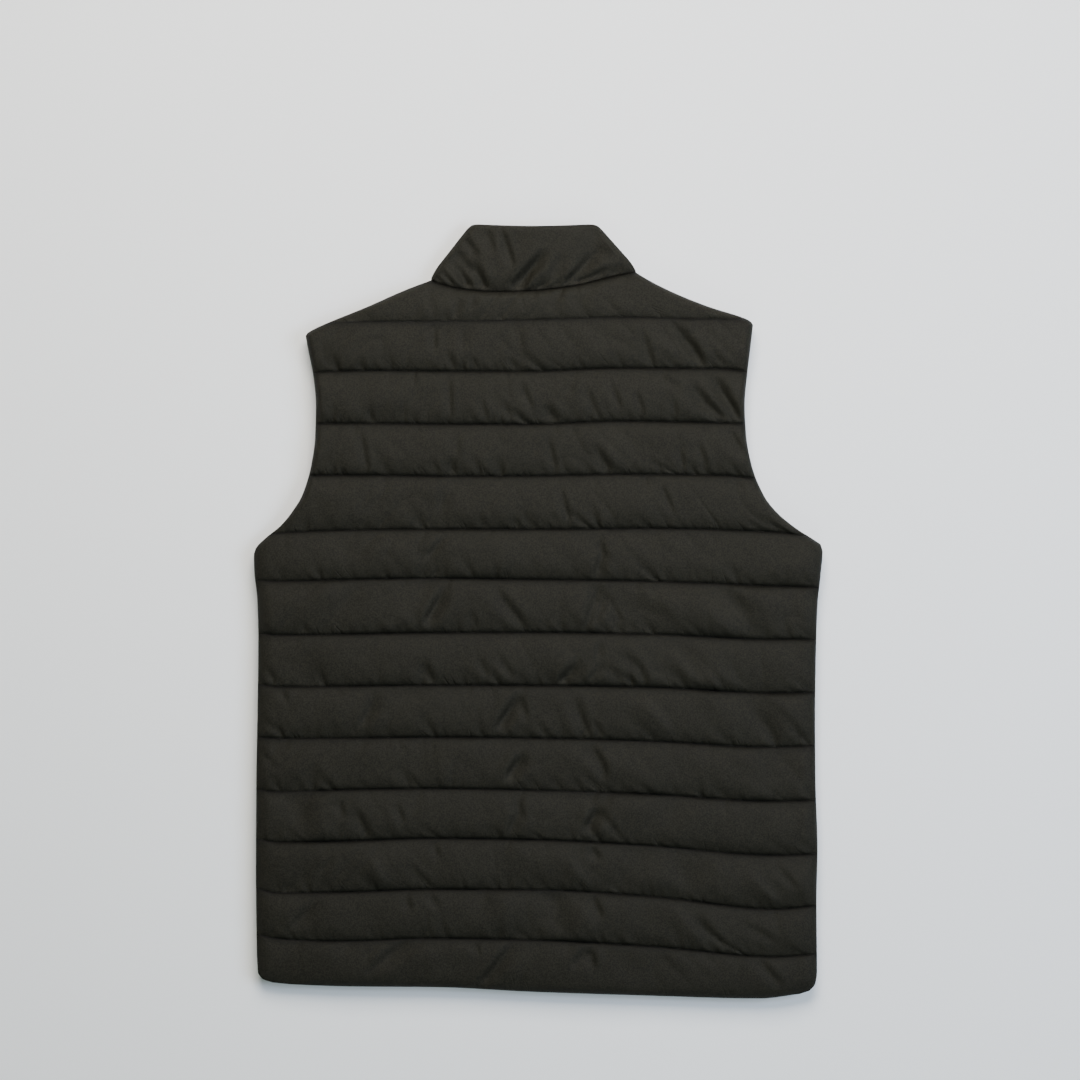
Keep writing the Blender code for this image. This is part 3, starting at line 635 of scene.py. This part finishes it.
def shell_material(settings):
    """Matte woven nylon: a plain weave, a fine grain, soft crinkles, and short gathered strokes beside the
    seams that are bumped and painted darker as their shade; shade is also painted into the crevice just
    below each stitch line.
    """
    graph = Graph("olive_nylon")
    where = graph.place()
    x, y, z = graph.numbers(where)
    colour, pitch = settings.shell_colour, settings.weave_pitch
    threads = (x + z).waves(pitch) * (y - z).waves(pitch)
    turned = graph.mapping(where, Rotation=(0.0, 0.0, math.radians(40)))
    cells = graph.node("ShaderNodeVectorMath", {"operation": "SNAP"}, {0: turned, 1: (pitch,) * 3})
    grain = graph.node("ShaderNodeTexWhiteNoise", {"noise_dimensions": "3D"}, {"Vector": cells})
    cloth = graph.tones(graph.noise(where, 9.0, 3.0, 0.55), colour, 0.92, 1.08)
    dark, light = (graph.mix(settings.grain, cloth, speck) for speck in (BLACK, tint(colour, 2.2)))
    cloth = graph.mix(grain + threads * 0.08, dark, light)

    beside = graph.node("ShaderNodeUVMap", {"uv_map": "seam"})
    above = graph.numbers(beside)[1] % (CHANNEL_PITCH * MM)
    below = CHANNEL_PITCH * MM - above
    narrow = graph.mapping(beside, Scale=(1.0, 0.13, 1.0))
    patchy = ((graph.noise(beside, 45.0) - 0.42) * 4.0).clamped()
    strokes = ((graph.noise(narrow, 300.0, 1.0) - 0.57) * 8.0).clamped() * patchy
    # Short strokes beside the seams: their bump makes the gathered cloth, and they are painted darker as
    # its painted shade.
    gathers_and_shade = strokes * (above.fading(190.0) + below.fading(420.0) * 0.6) * 1.1
    # Painted shade: the cloth is darkened towards black in the crevice just below each stitch line, where
    # real shade would fall.
    shade = below.fading(330.0) * (0.58 + 0.66 * graph.noise(beside, 130.0))
    cloth = graph.mix(shade + gathers_and_shade * 0.2, cloth, BLACK)

    normal = graph.bump(graph.noise(where, 190.0, 3.0, 0.6), 0.0008, 0.4)
    normal = graph.bump(gathers_and_shade * -1.0, 0.0012, 0.8, Normal=normal)
    normal = graph.bump(threads, 0.00015, 0.4, Normal=normal)
    graph.set(Base_Color=cloth, Roughness=0.6 + 0.1 * grain, Normal=normal, Specular_IOR_Level=0.1)
    return graph.material


def thread_material(settings):
    """Twisted sewing thread."""
    graph = Graph("sewing_thread")
    twist = graph.noise(graph.place(), 2600.0)
    graph.set(Base_Color=graph.tones(twist, settings.thread_colour, 0.7, 1.5), Roughness=0.55 + 0.2 * twist,
              Normal=graph.bump(twist, 0.0001, 0.6), Specular_IOR_Level=0.1)
    return graph.material


def tape_material(settings):
    """Woven zip tape with fine ribs along it."""
    graph = Graph("zip_tape_weave")
    where = graph.place()
    x, y, _ = graph.numbers(where)
    ribs, picks = x.waves(0.0008), y.waves(0.0006)
    grain = graph.noise(where, 1200.0)
    cloth = graph.tones(grain * 0.6 + ribs * 0.2 + 0.1, settings.tape_colour, 0.8, 1.6)
    graph.set(Base_Color=cloth, Roughness=0.75 + 0.1 * grain, Sheen_Weight=0.1,
              Normal=graph.bump(ribs * 0.5 + picks * 0.4 + grain, 0.00015, 0.6))
    return graph.material


def plastic_material(settings):
    """Moulded zip teeth, slightly worn on their crowns."""
    graph = Graph("moulded_teeth")
    scuffs = graph.noise(graph.place(), 700.0, 4.0, 0.65)
    graph.set(Base_Color=graph.tones(scuffs, settings.teeth_colour, 0.8, 1.7),
              Roughness=0.34 + 0.2 * scuffs, Normal=graph.bump(scuffs, 0.00006, 0.3))
    return graph.material


def metal_material(settings):
    """Dark lacquered metal with fine brush marks and rubbed spots."""
    graph = Graph("lacquered_metal")
    where = graph.place()
    lines = graph.noise(graph.mapping(where, Scale=(1.0, 0.08, 1.0)), 4200.0)
    spots = graph.noise(where, 420.0, 4.0, 0.7)
    graph.set(Base_Color=graph.tones(spots * 0.8, settings.metal_colour, 0.8, 2.2), Metallic=0.85,
              Roughness=0.24 + 0.16 * lines + 0.12 * spots, Normal=graph.bump(lines, 0.00003, 0.4))
    return graph.material


def material_named(name, make, settings):
    return bpy.data.materials.get(name) or make(settings)


# ---- the back

def back_points(cloth):
    """The outer side of the back, puffed, puckered and creased."""
    channel, step = panel_rows(BACK_GRID[0])
    shares = crowded_shares(BACK_GRID[1])
    y = row_heights(channel, step, shares)
    left, right = edge_x(LEFT_EDGE, y[:, 0])[:, None], edge_x(RIGHT_EDGE, y[:, -1])[:, None]
    x = left + (right - left) * shares
    from_sides, from_arms = [], []
    for edge, end in ((LEFT_EDGE, 0), (RIGHT_EDGE, -1)):
        path = list(zip(x[:, end], y[:, end]))
        underarm = int(np.sum(y[:, end] <= edge[0][-1][0]))
        from_sides.append(distance_to(path[:underarm + 1:2], x, y))
        from_arms.append(distance_to(path[underarm:], x, y))
    from_hem, from_neck = (distance_to(list(zip(x[row], y[row]))[::6] + [(x[row, -1], y[row, -1])], x, y)
                           for row in (0, -1))
    full = np.minimum(rounding(from_sides[0], ROUND_BACK_SIDE), rounding(from_sides[1], ROUND_BACK_SIDE))
    full = full * rounding(from_hem, ROUND_BACK_EDGE)
    full = full * (1 - THIN_HEM[0] * np.exp(-from_hem / THIN_HEM[1])
                   - THIN_LEFT[0] * np.exp(-from_sides[0] / THIN_LEFT[1]))
    for distance in from_arms:
        full = full * rounding(distance, ROUND_BACK_EDGE)
    full = full * (NECK_SHARE + (1 - NECK_SHARE) * rounding(from_neck, ROUND_NECK))

    rng = np.random.default_rng(11)
    swell = 1 + RISE_VARIES * soft_noise(rng, x, y, 60, 45)
    z = SEAM_RISE + cloth.puff_rise / MM * quilting(channel, step)[:, None] * swell
    between = 1 - np.abs(2 * step - 1)[:, None] ** 8
    relief = cloth.rumple * rumple(rng, x, y, channel) * between
    relief += cloth.crease_share * crease_relief(x, y, BACK_CREASES) * between
    strength = cloth.pucker_depth / MM
    for index in range(CHANNELS):
        rows = channel == index
        up, down = y[rows] - line_y(index, shares), line_y(index + 1, shares) - y[rows]
        if index:
            relief[rows] += LINE_DEPTHS[index] * seam_puckers(rng, x[rows], up, strength, *ABOVE_LINE)
        if index + 1 < CHANNELS:
            puckers = seam_puckers(rng, x[rows], down, 0.5 * strength, *BELOW_LINE)
            relief[rows] += LINE_DEPTHS[index + 1] * puckers
        else:
            relief[rows] += seam_puckers(rng, x[rows], down, strength, *BELOW_NECK)
    z = BACK_INNER + EDGE_WALL + np.maximum(z + relief, 1.0) * full
    return np.stack([x, y, z], -1), channel, step


# ---- the fronts

def collar_fold(side, up):
    """Where the collar folds over from back to front, in plan, from its seam to its top."""
    end = 0 if side < 0 else 1
    seam, corner = NECK_POINT[end], COLLAR_CORNER[end]
    seam_x = seam[0] - (COLLAR_EDGE + COLLAR_TURN[0]) * side
    corner_x = corner[0] - (COLLAR_WALL + COLLAR_TURN[1]) * side
    return seam_x + (corner_x - seam_x) * up, seam[1] + (corner[1] - seam[1]) * up


def neckline_x(side, heights):
    """A front's inner edge: straight beside the zip, then a quarter ellipse round the neck."""
    edge = ZIP_X + side * FRONT_EDGE_X
    neck_x, neck_y = collar_fold(side, 0.0)
    up = np.clip((neck_y - heights) / (neck_y - NECK_BASE_Y), 0, 1)
    return edge + (neck_x - edge) * np.sqrt(1 - up ** 2)


def lifted(heights):
    """Heights along a front's edge once its hem is raised; from the neck's base up they stay."""
    return heights + HEM_LIFT * np.clip((NECK_BASE_Y - heights) / (NECK_BASE_Y - heights[0]), 0, 1)


def front_ends(side, channel, step):
    """Both ends in plan of each row of points across a front."""
    edge, station = (LEFT_EDGE, 0.0) if side < 0 else (RIGHT_EDGE, 1.0)
    outer = row_heights(channel, step, np.array([station]))[:, 0]
    middle = np.array([line_y(i, 0.5) for i in range(CHANNELS)] + [collar_fold(side, 0.0)[1]])
    inner = lifted(middle[channel] + (middle[channel + 1] - middle[channel]) * step)
    underarm, shoulder = edge[1][0][0], edge[1][-1][0]
    up = np.clip((outer - underarm) / (shoulder - underarm), 0, 1)
    outer_x = edge_x(edge, outer) - side * ARMHOLE_SCOOP * np.sin(np.pi * up)
    return outer_x, lifted(outer), neckline_x(side, inner), inner


def front_points(side, cloth):
    """The outer side of a front, which faces down: flat where the channels rest."""
    channel, step = panel_rows(FRONT_GRID[0])
    outer_x, outer_y, inner_x, inner_y = front_ends(side, channel, step)
    shares = crowded_shares(FRONT_GRID[1], 0.05, 1.5)
    x = outer_x[:, None] + (inner_x - outer_x)[:, None] * shares
    y = outer_y[:, None] + (inner_y - outer_y)[:, None] * shares
    below_seam = FRONT_TOP - EDGE_WALL
    inner = list(zip(inner_x, inner_y))
    turn = int(np.sum(inner_y <= NECK_BASE_Y))
    lift = np.zeros(x.shape)
    for path, reach, height in ((list(zip(outer_x, outer_y)), ROUND_SIDE, below_seam),
                                ([(x[0, 0], y[0, 0]), (x[0, -1], y[0, -1])], ROUND_EDGE, below_seam),
                                (inner[turn::2] + inner[-1:], ROUND_NECK, below_seam),
                                ([inner[0], inner[turn]], ROUND_EDGE, FRONT_EDGE_Z)):
        lift = np.maximum(lift, height * (1 - rounding(distance_to(path, x, y), reach)))
    sunk = 1 - np.minimum(1, FRONT_FLAT * quilting(channel, step))[:, None]

    rng = np.random.default_rng(23 + side)
    relief = np.zeros(x.shape)
    for index in range(1, CHANNELS):
        rows = channel == index
        relief[rows] = seam_puckers(rng, x[rows], y[rows] - y[index * FRONT_GRID[0]],
                                    FRONT_PUCKERS * cloth.pucker_depth / MM, *ON_FRONTS)
    relief *= smoothstep(0.02, 0.5, sunk + lift / below_seam)
    relief += FRONT_CREASES * cloth.crease_share * crease_relief(-x, y, BACK_CREASES)
    z = lift + FRONT_GROOVE * sunk * (1 - lift / (below_seam + 1)) - relief
    return np.stack([x, y, np.clip(z, 0, FRONT_TOP - FRONT_LEAST_WALL)], -1), channel, step


# ---- panels and their stitches

def quilted_panel(name, made_from, plane, up, rng, cloth):
    """A padded panel and the rows of stitches across it, both in their places."""
    points, channel, step = made_from
    piece, rim = panel_shell(f"vest_{name}", points, plane)
    x = points[..., 0]
    rise = (channel + step)[:, None] * CHANNEL_PITCH * np.ones_like(x)
    seam = beside_seams(x, rise, 0.75 + 0.3 * np.sin(x / 31) + 0.2 * np.sin(x / 11 + channel[:, None]))
    finish_cloth(piece, material_named("olive_nylon", shell_material, cloth),
                 np.concatenate([seam, seam[rim]]))
    places = []
    for row in np.nonzero((step == 0) & (channel > 0))[0]:
        places += stitches_along(points[row, 2:-2], up, cloth.stitch_pitch / MM, rng)
    sewing = copies_of(stitch(), places, f"{name}_stitches")
    sewing.data.materials.append(material_named("sewing_thread", thread_material, cloth))
    sewing.data.shade_smooth()
    hand_over(sewing, "vest")
    hand_over(piece, "vest", name)
    return piece, sewing


def stitch():
    """One stitch: a short thread that dips in at both ends."""
    bpy.ops.object.select_all(action="DESELECT")
    bpy.ops.mesh.primitive_cylinder_add(vertices=6, radius=STITCH_RADIUS * MM, depth=STITCH_LENGTH * MM,
                                        rotation=(math.pi / 2, 0, 0), end_fill_type="TRIFAN")
    made = bpy.context.object
    bpy.ops.object.transform_apply(location=False, rotation=True, scale=False)

    def dip(bm):
        lengthwise = [e for e in bm.edges if e.calc_length() > STITCH_LENGTH * 0.6 * MM]
        bmesh.ops.subdivide_edges(bm, edges=lengthwise, cuts=2)
        for vert in bm.verts:
            share = abs(vert.co.y) / (STITCH_LENGTH / 2 * MM)
            vert.co.z -= STITCH_DIP * MM * share ** 3
            if share > 0.9:
                vert.co.x *= 0.6

    edit(made.data, dip)
    return made


def stitches_along(path, up, pitch, rng):
    """Places for stitches along a path of points on the cloth."""
    lengths = np.concatenate([[0], np.cumsum(np.linalg.norm(np.diff(path, axis=0), axis=1))])
    count = int(lengths[-1] / pitch)
    at = (np.arange(count) + 0.5) * lengths[-1] / count
    # A stitch points from the cloth just behind it to the cloth just ahead.
    here, ahead, behind = (np.stack([np.interp(at + off, lengths, path[:, i]) for i in range(3)], -1)
                           for off in (0, 0.8, -0.8))
    along = ahead - behind
    along[:, 1] += rng.normal(0, STITCH_STRAY, count)
    return [(place - up * STITCH_SINK, way, up) for place, way in zip(here, along)]


# ---- the collar

def collar_half_wall(up):
    """Half the collar's thickness: thin at its seam, full from a third up, rounded at the top edge."""
    full = np.minimum(rounding(up, 0.34), rounding(1 - up, 0.1) * 0.8 + 0.2)
    return (COLLAR_EDGE + (COLLAR_WALL - COLLAR_EDGE) * full) / 2


def collar_line(up):
    """The collar's mid line at this share of its height: points and outward directions."""
    across, turns, down = COLLAR_RING
    folds = collar_fold(-1, up), collar_fold(1, up)
    half = float(collar_half_wall(up))
    parted = COLLAR_LIFT * min(up / COLLAR_LIFTED, 1.0)
    back_z = BACK_INNER + parted + half
    front_z = FRONT_TOP - parted - half
    share = np.linspace(0, 1, across)
    low, high = collar_fold(-1, 0)[0], collar_fold(1, 0)[0]
    neck_share = (low + (high - low) * share - NECK_POINT[0][0]) / (NECK_POINT[1][0] - NECK_POINT[0][0])
    seam_y = line_y(CHANNELS, neck_share) - SEAM_GAP
    top_y = COLLAR_CORNER[0][1] - COLLAR_ARCH * np.sin(np.pi * share)
    layer = np.stack([folds[0][0] + (folds[1][0] - folds[0][0]) * share, seam_y + (top_y - seam_y) * up,
                      back_z + COLLAR_SWELL * up * np.sin(np.pi * share)], -1)

    def wing(side):
        fold_x, fold_y = folds[0] if side < 0 else folds[1]
        fold_y -= SEAM_GAP * (1 - up)
        angle = np.pi * np.arange(1, turns) / turns
        out = np.stack([side * np.sin(angle), 0 * angle, np.cos(angle)], -1)
        turn = np.array([fold_x, fold_y, (back_z + front_z) / 2]) + out * (back_z - front_z) / 2
        edge = ZIP_X + side * FRONT_EDGE_X
        angle = np.pi / 2 * np.linspace(1, 0, down)
        base_y = NECK_BASE_Y - SEAM_GAP + COLLAR_HEIGHT * up
        front_x = edge + (fold_x - edge + side * SEAM_GAP * (1 - up)) * np.sin(angle)
        front_y = fold_y - (fold_y - base_y) * np.cos(angle)
        front = np.stack([front_x, front_y, front_z + 0 * angle], -1)
        return np.concatenate([turn, front]), np.concatenate([out, np.tile(-UP, (down, 1))])

    left, left_out = wing(-1)
    right, right_out = wing(1)
    return (np.concatenate([left[::-1], layer, right]),
            np.concatenate([left_out[::-1], np.tile(UP, (across, 1)), right_out]))


def collar_points():
    """The collar as rings round its wall: up its outer side and down its inner side."""
    t = np.linspace(0, 1, COLLAR_ROWS)
    # Rows lie closer together beside the seam and the top edge.
    ups = t - 0.55 * np.sin(2 * np.pi * t) / (2 * np.pi)
    rng = np.random.default_rng(31)
    middle, out = (np.stack(each) for each in zip(*(collar_line(up) for up in ups)))
    half = collar_half_wall(ups)[:, None]
    x, y = middle[..., 0], middle[..., 1]
    ups = ups[:, None]
    up = COLLAR_HEIGHT * ups * np.ones_like(x)

    relief = COLLAR_CREASING * crease_relief(x, y, COLLAR_CREASES)
    relief += seam_puckers(rng, x, up, COLLAR_PUCKERS, *ON_COLLAR)
    relief += COLLAR_STRIPS * strips(rng, x, y, -38, 15, 40)
    on_back = (out[..., 2] > 0.98) * smoothstep(0.0, 0.08, ups) * (1 - smoothstep(0.9, 1.0, ups))
    ripple = COLLAR_RIPPLE * soft_noise(rng, x, y, 16, 22) * smoothstep(0.0, 0.3, ups)
    outer = middle + out * (half + relief * on_back + ripple * on_back)[..., None]
    inner = middle - out * half[..., None]
    return np.concatenate([outer, inner[::-1], outer[:1]]), np.concatenate([up, up[::-1], up[:1]])


# ---- zip

def tape_points(side):
    """One tape as rings round its wall, from the hem up; it steps aside for the slider's post."""
    post_y = SLIDER_Y + SLIDER_LENGTH / 2 - SLIDER_POST_LENGTH
    aside = SLIDER_POST_WIDTH / 2 + POST_CLEARANCE
    path_y = [ZIP_BOTTOM, post_y - 2.0, post_y - 0.5, ZIP_TOP]
    ys = np.unique(np.concatenate([np.linspace(ZIP_BOTTOM, ZIP_TOP, TAPE_ROWS), path_y]))
    inner = np.interp(ys, path_y, [TAPE_APART, TAPE_APART, aside, aside])
    low, high = TAPE_Z
    rim = 0.18  # how far the corners of its wall are eased
    section = [(0, low + rim), (0.03, low), (0.5, low), (0.97, low), (1, low + rim), (1, high - rim),
               (0.97, high), (0.5, high), (0.03, high), (0, high - rim), (0, low + rim)]
    return np.stack([np.stack([ZIP_X + side * (inner + (TAPE_WIDTH - inner) * share), ys, 0 * ys + z], -1)
                     for share, z in section])


def hard_copy(name, node, easing):
    """A copy of a hard piece with its edges eased."""
    made = bpy.data.objects.new(name, bpy.data.objects[node].data.copy())
    bpy.context.scene.collection.objects.link(made)
    bpy.ops.object.select_all(action="DESELECT")
    made.select_set(True)
    bpy.context.view_layer.objects.active = made
    bpy.ops.object.mode_set(mode="EDIT")
    bpy.ops.mesh.select_all(action="SELECT")
    bpy.ops.mesh.remove_doubles(threshold=1e-6)
    bpy.ops.mesh.dissolve_limited(angle_limit=math.radians(1))
    bpy.ops.object.mode_set(mode="OBJECT")
    ease_edges(made, easing * MM, 2)
    bpy.ops.object.shade_smooth_by_angle(angle=math.radians(35))
    return made


def tooth(parts):
    """One moulded tooth that lies across the zip's middle, head towards +X."""
    bpy.ops.object.select_all(action="DESELECT")
    bpy.ops.mesh.primitive_cube_add(size=1.0)
    made = bpy.context.object
    made.scale = (parts.tooth_width, parts.tooth_length, (CHAIN_Z[1] - CHAIN_Z[0]) * MM)
    bpy.ops.object.transform_apply(location=False, rotation=False, scale=True)
    bpy.ops.object.mode_set(mode="EDIT")
    bpy.ops.mesh.select_all(action="SELECT")
    bpy.ops.mesh.subdivide(number_cuts=2)
    bpy.ops.object.mode_set(mode="OBJECT")
    for vert in made.data.vertices:
        share = vert.co.x / (parts.tooth_width / 2)
        if 0 < share < 0.4:
            vert.co.y *= TOOTH_NECK
        elif share > 0.9:
            vert.co.y *= TOOTH_CROWN[0]
            vert.co.z *= TOOTH_CROWN[1]
    ease_edges(made, 0.18 * MM, 1)
    return made


# ---- settings

COLOUR = {"subtype": "COLOR", "size": 3, "min": 0, "max": 1}


class VestCloth(bpy.types.PropertyGroup):
    shell_colour: FloatVectorProperty(
        name="Shell", description="Colour of the woven shell", default=(0.0120, 0.0112, 0.0079), **COLOUR)
    thread_colour: FloatVectorProperty(
        name="Thread", description="Colour of the sewing thread", default=(0.012, 0.0117, 0.0095), **COLOUR)
    weave_pitch: FloatProperty(
        name="Weave pitch", description="Width of one thread of the weave and its gap", unit="LENGTH",
        default=0.0009, min=0.0003, max=0.003)
    grain: FloatProperty(
        name="Grain", description="How strongly the weave's grain shows", default=0.38, min=0.0, max=1.0)
    puff_rise: FloatProperty(
        name="Puff", description="How far a channel rises between its stitch lines", unit="LENGTH",
        default=0.0078, min=0.002, max=0.014)
    stitch_pitch: FloatProperty(
        name="Stitch pitch", description="From one stitch to the next", unit="LENGTH", default=0.0034,
        min=0.002, max=0.008)
    pucker_depth: FloatProperty(
        name="Pucker depth", description="Depth of the short creases at the seams", unit="LENGTH",
        default=0.0014, min=0.0, max=0.003)
    rumple: FloatProperty(
        name="Rumple", description="How lumpy the cloth is between its seams", default=1.1, min=0.0,
        max=3.0)
    crease_share: FloatProperty(
        name="Creases", description="How strongly the placed creases show", default=1.35, min=0.0, max=3.0)


class VestZip(bpy.types.PropertyGroup):
    tape_colour: FloatVectorProperty(
        name="Tape", description="Colour of the zip's tapes", default=(0.02, 0.02, 0.017), **COLOUR)
    teeth_colour: FloatVectorProperty(
        name="Teeth", description="Colour of the moulded teeth", default=(0.015, 0.015, 0.014), **COLOUR)
    metal_colour: FloatVectorProperty(
        name="Slider", description="Colour of the slider and its pull", default=(0.05, 0.05, 0.05),
        **COLOUR)
    tooth_pitch: FloatProperty(
        name="Tooth pitch", description="From one tooth to the next on one tape", unit="LENGTH",
        default=0.0029, min=0.002, max=0.006)
    tooth_width: FloatProperty(
        name="Tooth width", description="A tooth's size across the zip", unit="LENGTH", default=0.0042,
        min=0.002, max=0.006)
    tooth_length: FloatProperty(
        name="Tooth length", description="A tooth's size along the zip", unit="LENGTH", default=0.00135,
        min=0.0008, max=0.003)


class VestStudio(bpy.types.PropertyGroup):
    floor_colour: FloatVectorProperty(
        name="Floor", description="Colour of the plain floor", default=(0.86, 0.86, 0.86), **COLOUR)
    key_power: FloatProperty(
        name="Key light", description="Power of the large light beyond the collar", unit="POWER",
        default=79.0, min=0.0)
    side_power: FloatProperty(
        name="Side light", description="Power of the light on the right", unit="POWER", default=43.0,
        min=0.0)
    fill_power: FloatProperty(
        name="Fill light", description="Power of the light beyond the hem", unit="POWER", default=35.0,
        min=0.0)
    sky_strength: FloatProperty(
        name="Sky", description="Strength of the even light from all round", default=0.12, min=0.0)
    view_width: FloatProperty(
        name="View width", description="Width of what the camera sees at the vest", unit="LENGTH",
        default=1.0584, min=0.2)
    camera_height: FloatProperty(
        name="Camera height", description="The camera's height over the vest", unit="LENGTH", default=3.2,
        min=0.5)


# ---- operators

def hand_over(piece, body, node=None):
    """Lets a piece move with a body and stand for a node."""
    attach(piece, body)
    if node:
        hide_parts(node)


class VEST_OT_back(bpy.types.Operator):
    """Makes the quilted back"""
    bl_idname = "vest.back"
    bl_label = "Back"

    def execute(self, context):
        cloth = context.scene.vest_cloth
        piece, sewing = quilted_panel("back", back_points(cloth), BACK_INNER, UP, np.random.default_rng(5),
                                      cloth)
        return {"FINISHED"}


class VEST_OT_fronts(bpy.types.Operator):
    """Makes both quilted fronts, which lie under the back"""
    bl_idname = "vest.fronts"
    bl_label = "Fronts"

    def execute(self, context):
        cloth = context.scene.vest_cloth
        rng = np.random.default_rng(6)
        for side, name in ((-1, "front_left"), (1, "front_right")):
            piece, sewing = quilted_panel(name, front_points(side, cloth), FRONT_TOP, -UP, rng, cloth)
        return {"FINISHED"}


class VEST_OT_collar(bpy.types.Operator):
    """Makes the padded stand collar"""
    bl_idname = "vest.collar"
    bl_label = "Collar"

    def execute(self, context):
        cloth = context.scene.vest_cloth
        rings, up = collar_points()
        piece = closed_tube("vest_collar", rings)
        seam = beside_seams(rings[:-1, :, 0], np.minimum(up[:-1], CHANNEL_PITCH / 2), -0.6)
        finish_cloth(piece, material_named("olive_nylon", shell_material, cloth), seam)
        hand_over(piece, "vest", "collar")
        return {"FINISHED"}


class VEST_OT_zip(bpy.types.Operator):
    """Makes the zip's tapes, teeth, slider and pull tab"""
    bl_idname = "vest.zip"
    bl_label = "Zip"

    def execute(self, context):
        parts = context.scene.vest_zip
        for side, hand in ((-1, "left"), (1, "right")):
            tape = closed_tube(f"vest_zip_tape_{hand}", tape_points(side))
            finish_cloth(tape, material_named("zip_tape_weave", tape_material, parts), angle=40)
            hand_over(tape, "vest", f"zip_tape_{hand}")
        self.teeth(parts)
        for name, node, body, easing in (("zip_slider_body", "zip_slider", "vest", 0.12),
                                         ("zip_pull_tab", "zip_pull", "pull", 0.15)):
            piece = hard_copy(name, node, easing)
            piece.data.materials.clear()
            piece.data.materials.append(material_named("lacquered_metal", metal_material, parts))
            hand_over(piece, body, node)
        return {"FINISHED"}

    def teeth(self, parts):
        low, high = (corner.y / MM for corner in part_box("zip_chain"))
        pitch = parts.tooth_pitch / MM
        places = []
        for side, offset in ((-1, 0.0), (1, pitch / 2)):
            for i in range(int((high - low - offset - 1.0) / pitch)):
                y = low + FIRST_TOOTH + offset + i * pitch
                places.append((np.array([ZIP_X + side * TOOTH_REACH, y, sum(CHAIN_Z) / 2]),
                               np.array([0.0, -side, 0.0]), UP))
        chain = copies_of(tooth(parts), places, "zip_teeth")
        chain.data.materials.append(material_named("moulded_teeth", plastic_material, parts))
        hand_over(chain, "vest", "zip_chain")


class VEST_OT_studio(bpy.types.Operator):
    """Makes the floor, the lights and the camera"""
    bl_idname = "vest.studio"
    bl_label = "Studio"

    def execute(self, context):
        studio = context.scene.vest_studio
        bpy.ops.object.select_all(action="DESELECT")
        bpy.ops.mesh.primitive_plane_add(size=12.0, location=(0, 0, -0.0005))
        floor = context.object
        floor.name = "studio_floor"
        graph = Graph("studio_floor")
        shade = graph.tones(graph.noise(graph.place(), 3.0), studio.floor_colour, 0.99, 1.01)
        graph.set(Base_Color=shade, Roughness=0.8)
        floor.data.materials.append(graph.material)
        for name, power, size, place, colour in (
                ("key_light", studio.key_power, 1.2, (0.02, 1.4, 1.6), (1.0, 0.96, 0.9)),
                ("right_light", studio.side_power, 1.2, (1.5, 0.1, 1.9), (0.83, 0.97, 1.23)),
                ("left_light", studio.side_power * LEFT_SHARE, 1.2, (-1.6, 0.6, 2.1), (0.8, 1.0, 1.0)),
                ("fill_light", studio.fill_power, 1.8, (0.3, -3.3, 3.0), (0.84, 1.0, 0.9))):
            lamp = bpy.data.lights.new(name, "AREA")
            lamp.energy, lamp.color, lamp.size = power, colour, size
            made = self.put(name, lamp, place)
            made.rotation_mode = "QUATERNION"
            made.rotation_quaternion = (-Vector(place)).to_track_quat("-Z", "Y")
        world = bpy.data.worlds.new("studio_air")
        world.use_nodes = True
        air = world.node_tree.nodes["Background"].inputs
        air["Color"].default_value = (0.86, 1, 0.88, 1)
        air["Strength"].default_value = studio.sky_strength
        context.scene.world = world
        lens = bpy.data.cameras.new("camera")
        lens.sensor_width = 36.0
        lens.lens = lens.sensor_width * (studio.camera_height - VIEW_PLANE) / studio.view_width
        lens.dof.use_dof = False
        context.scene.camera = self.put("camera", lens, (*VIEW_CENTRE, studio.camera_height))
        return {"FINISHED"}

    def put(self, name, data, place):
        made = bpy.data.objects.new(name, data)
        made.location = place
        bpy.context.scene.collection.objects.link(made)
        return made


class VEST_PT_panel(bpy.types.Panel):
    """Lists the vest's pieces and their settings"""
    bl_idname = "VEST_PT_panel"
    bl_label = "Puffer Vest"
    bl_space_type = "VIEW_3D"
    bl_region_type = "UI"
    bl_category = "Vest"

    def draw(self, context):
        scene = context.scene
        groups = (("Cloth", scene.vest_cloth, ("vest.back", "vest.fronts", "vest.collar")),
                  ("Zip", scene.vest_zip, ("vest.zip",)),
                  ("Studio", scene.vest_studio, ("vest.studio",)))
        for title, settings, operators in groups:
            box = self.layout.box()
            box.label(text=title)
            for key in settings.__annotations__:
                box.prop(settings, key)
            for name in operators:
                box.operator(name)


CLASSES = (VestCloth, VestZip, VestStudio, VEST_OT_back, VEST_OT_fronts, VEST_OT_collar, VEST_OT_zip,
           VEST_OT_studio, VEST_PT_panel)


def register():
    for each in CLASSES:
        bpy.utils.register_class(each)
    bpy.types.Scene.vest_cloth = PointerProperty(type=VestCloth)
    bpy.types.Scene.vest_zip = PointerProperty(type=VestZip)
    bpy.types.Scene.vest_studio = PointerProperty(type=VestStudio)


def unregister():
    del bpy.types.Scene.vest_studio
    del bpy.types.Scene.vest_zip
    del bpy.types.Scene.vest_cloth
    for each in reversed(CLASSES):
        bpy.utils.unregister_class(each)


def main():
    register()
    bpy.ops.vest.back()
    bpy.ops.vest.fronts()
    bpy.ops.vest.collar()
    bpy.ops.vest.zip()
    bpy.ops.vest.studio()


if __name__ == "__main__":
    main()
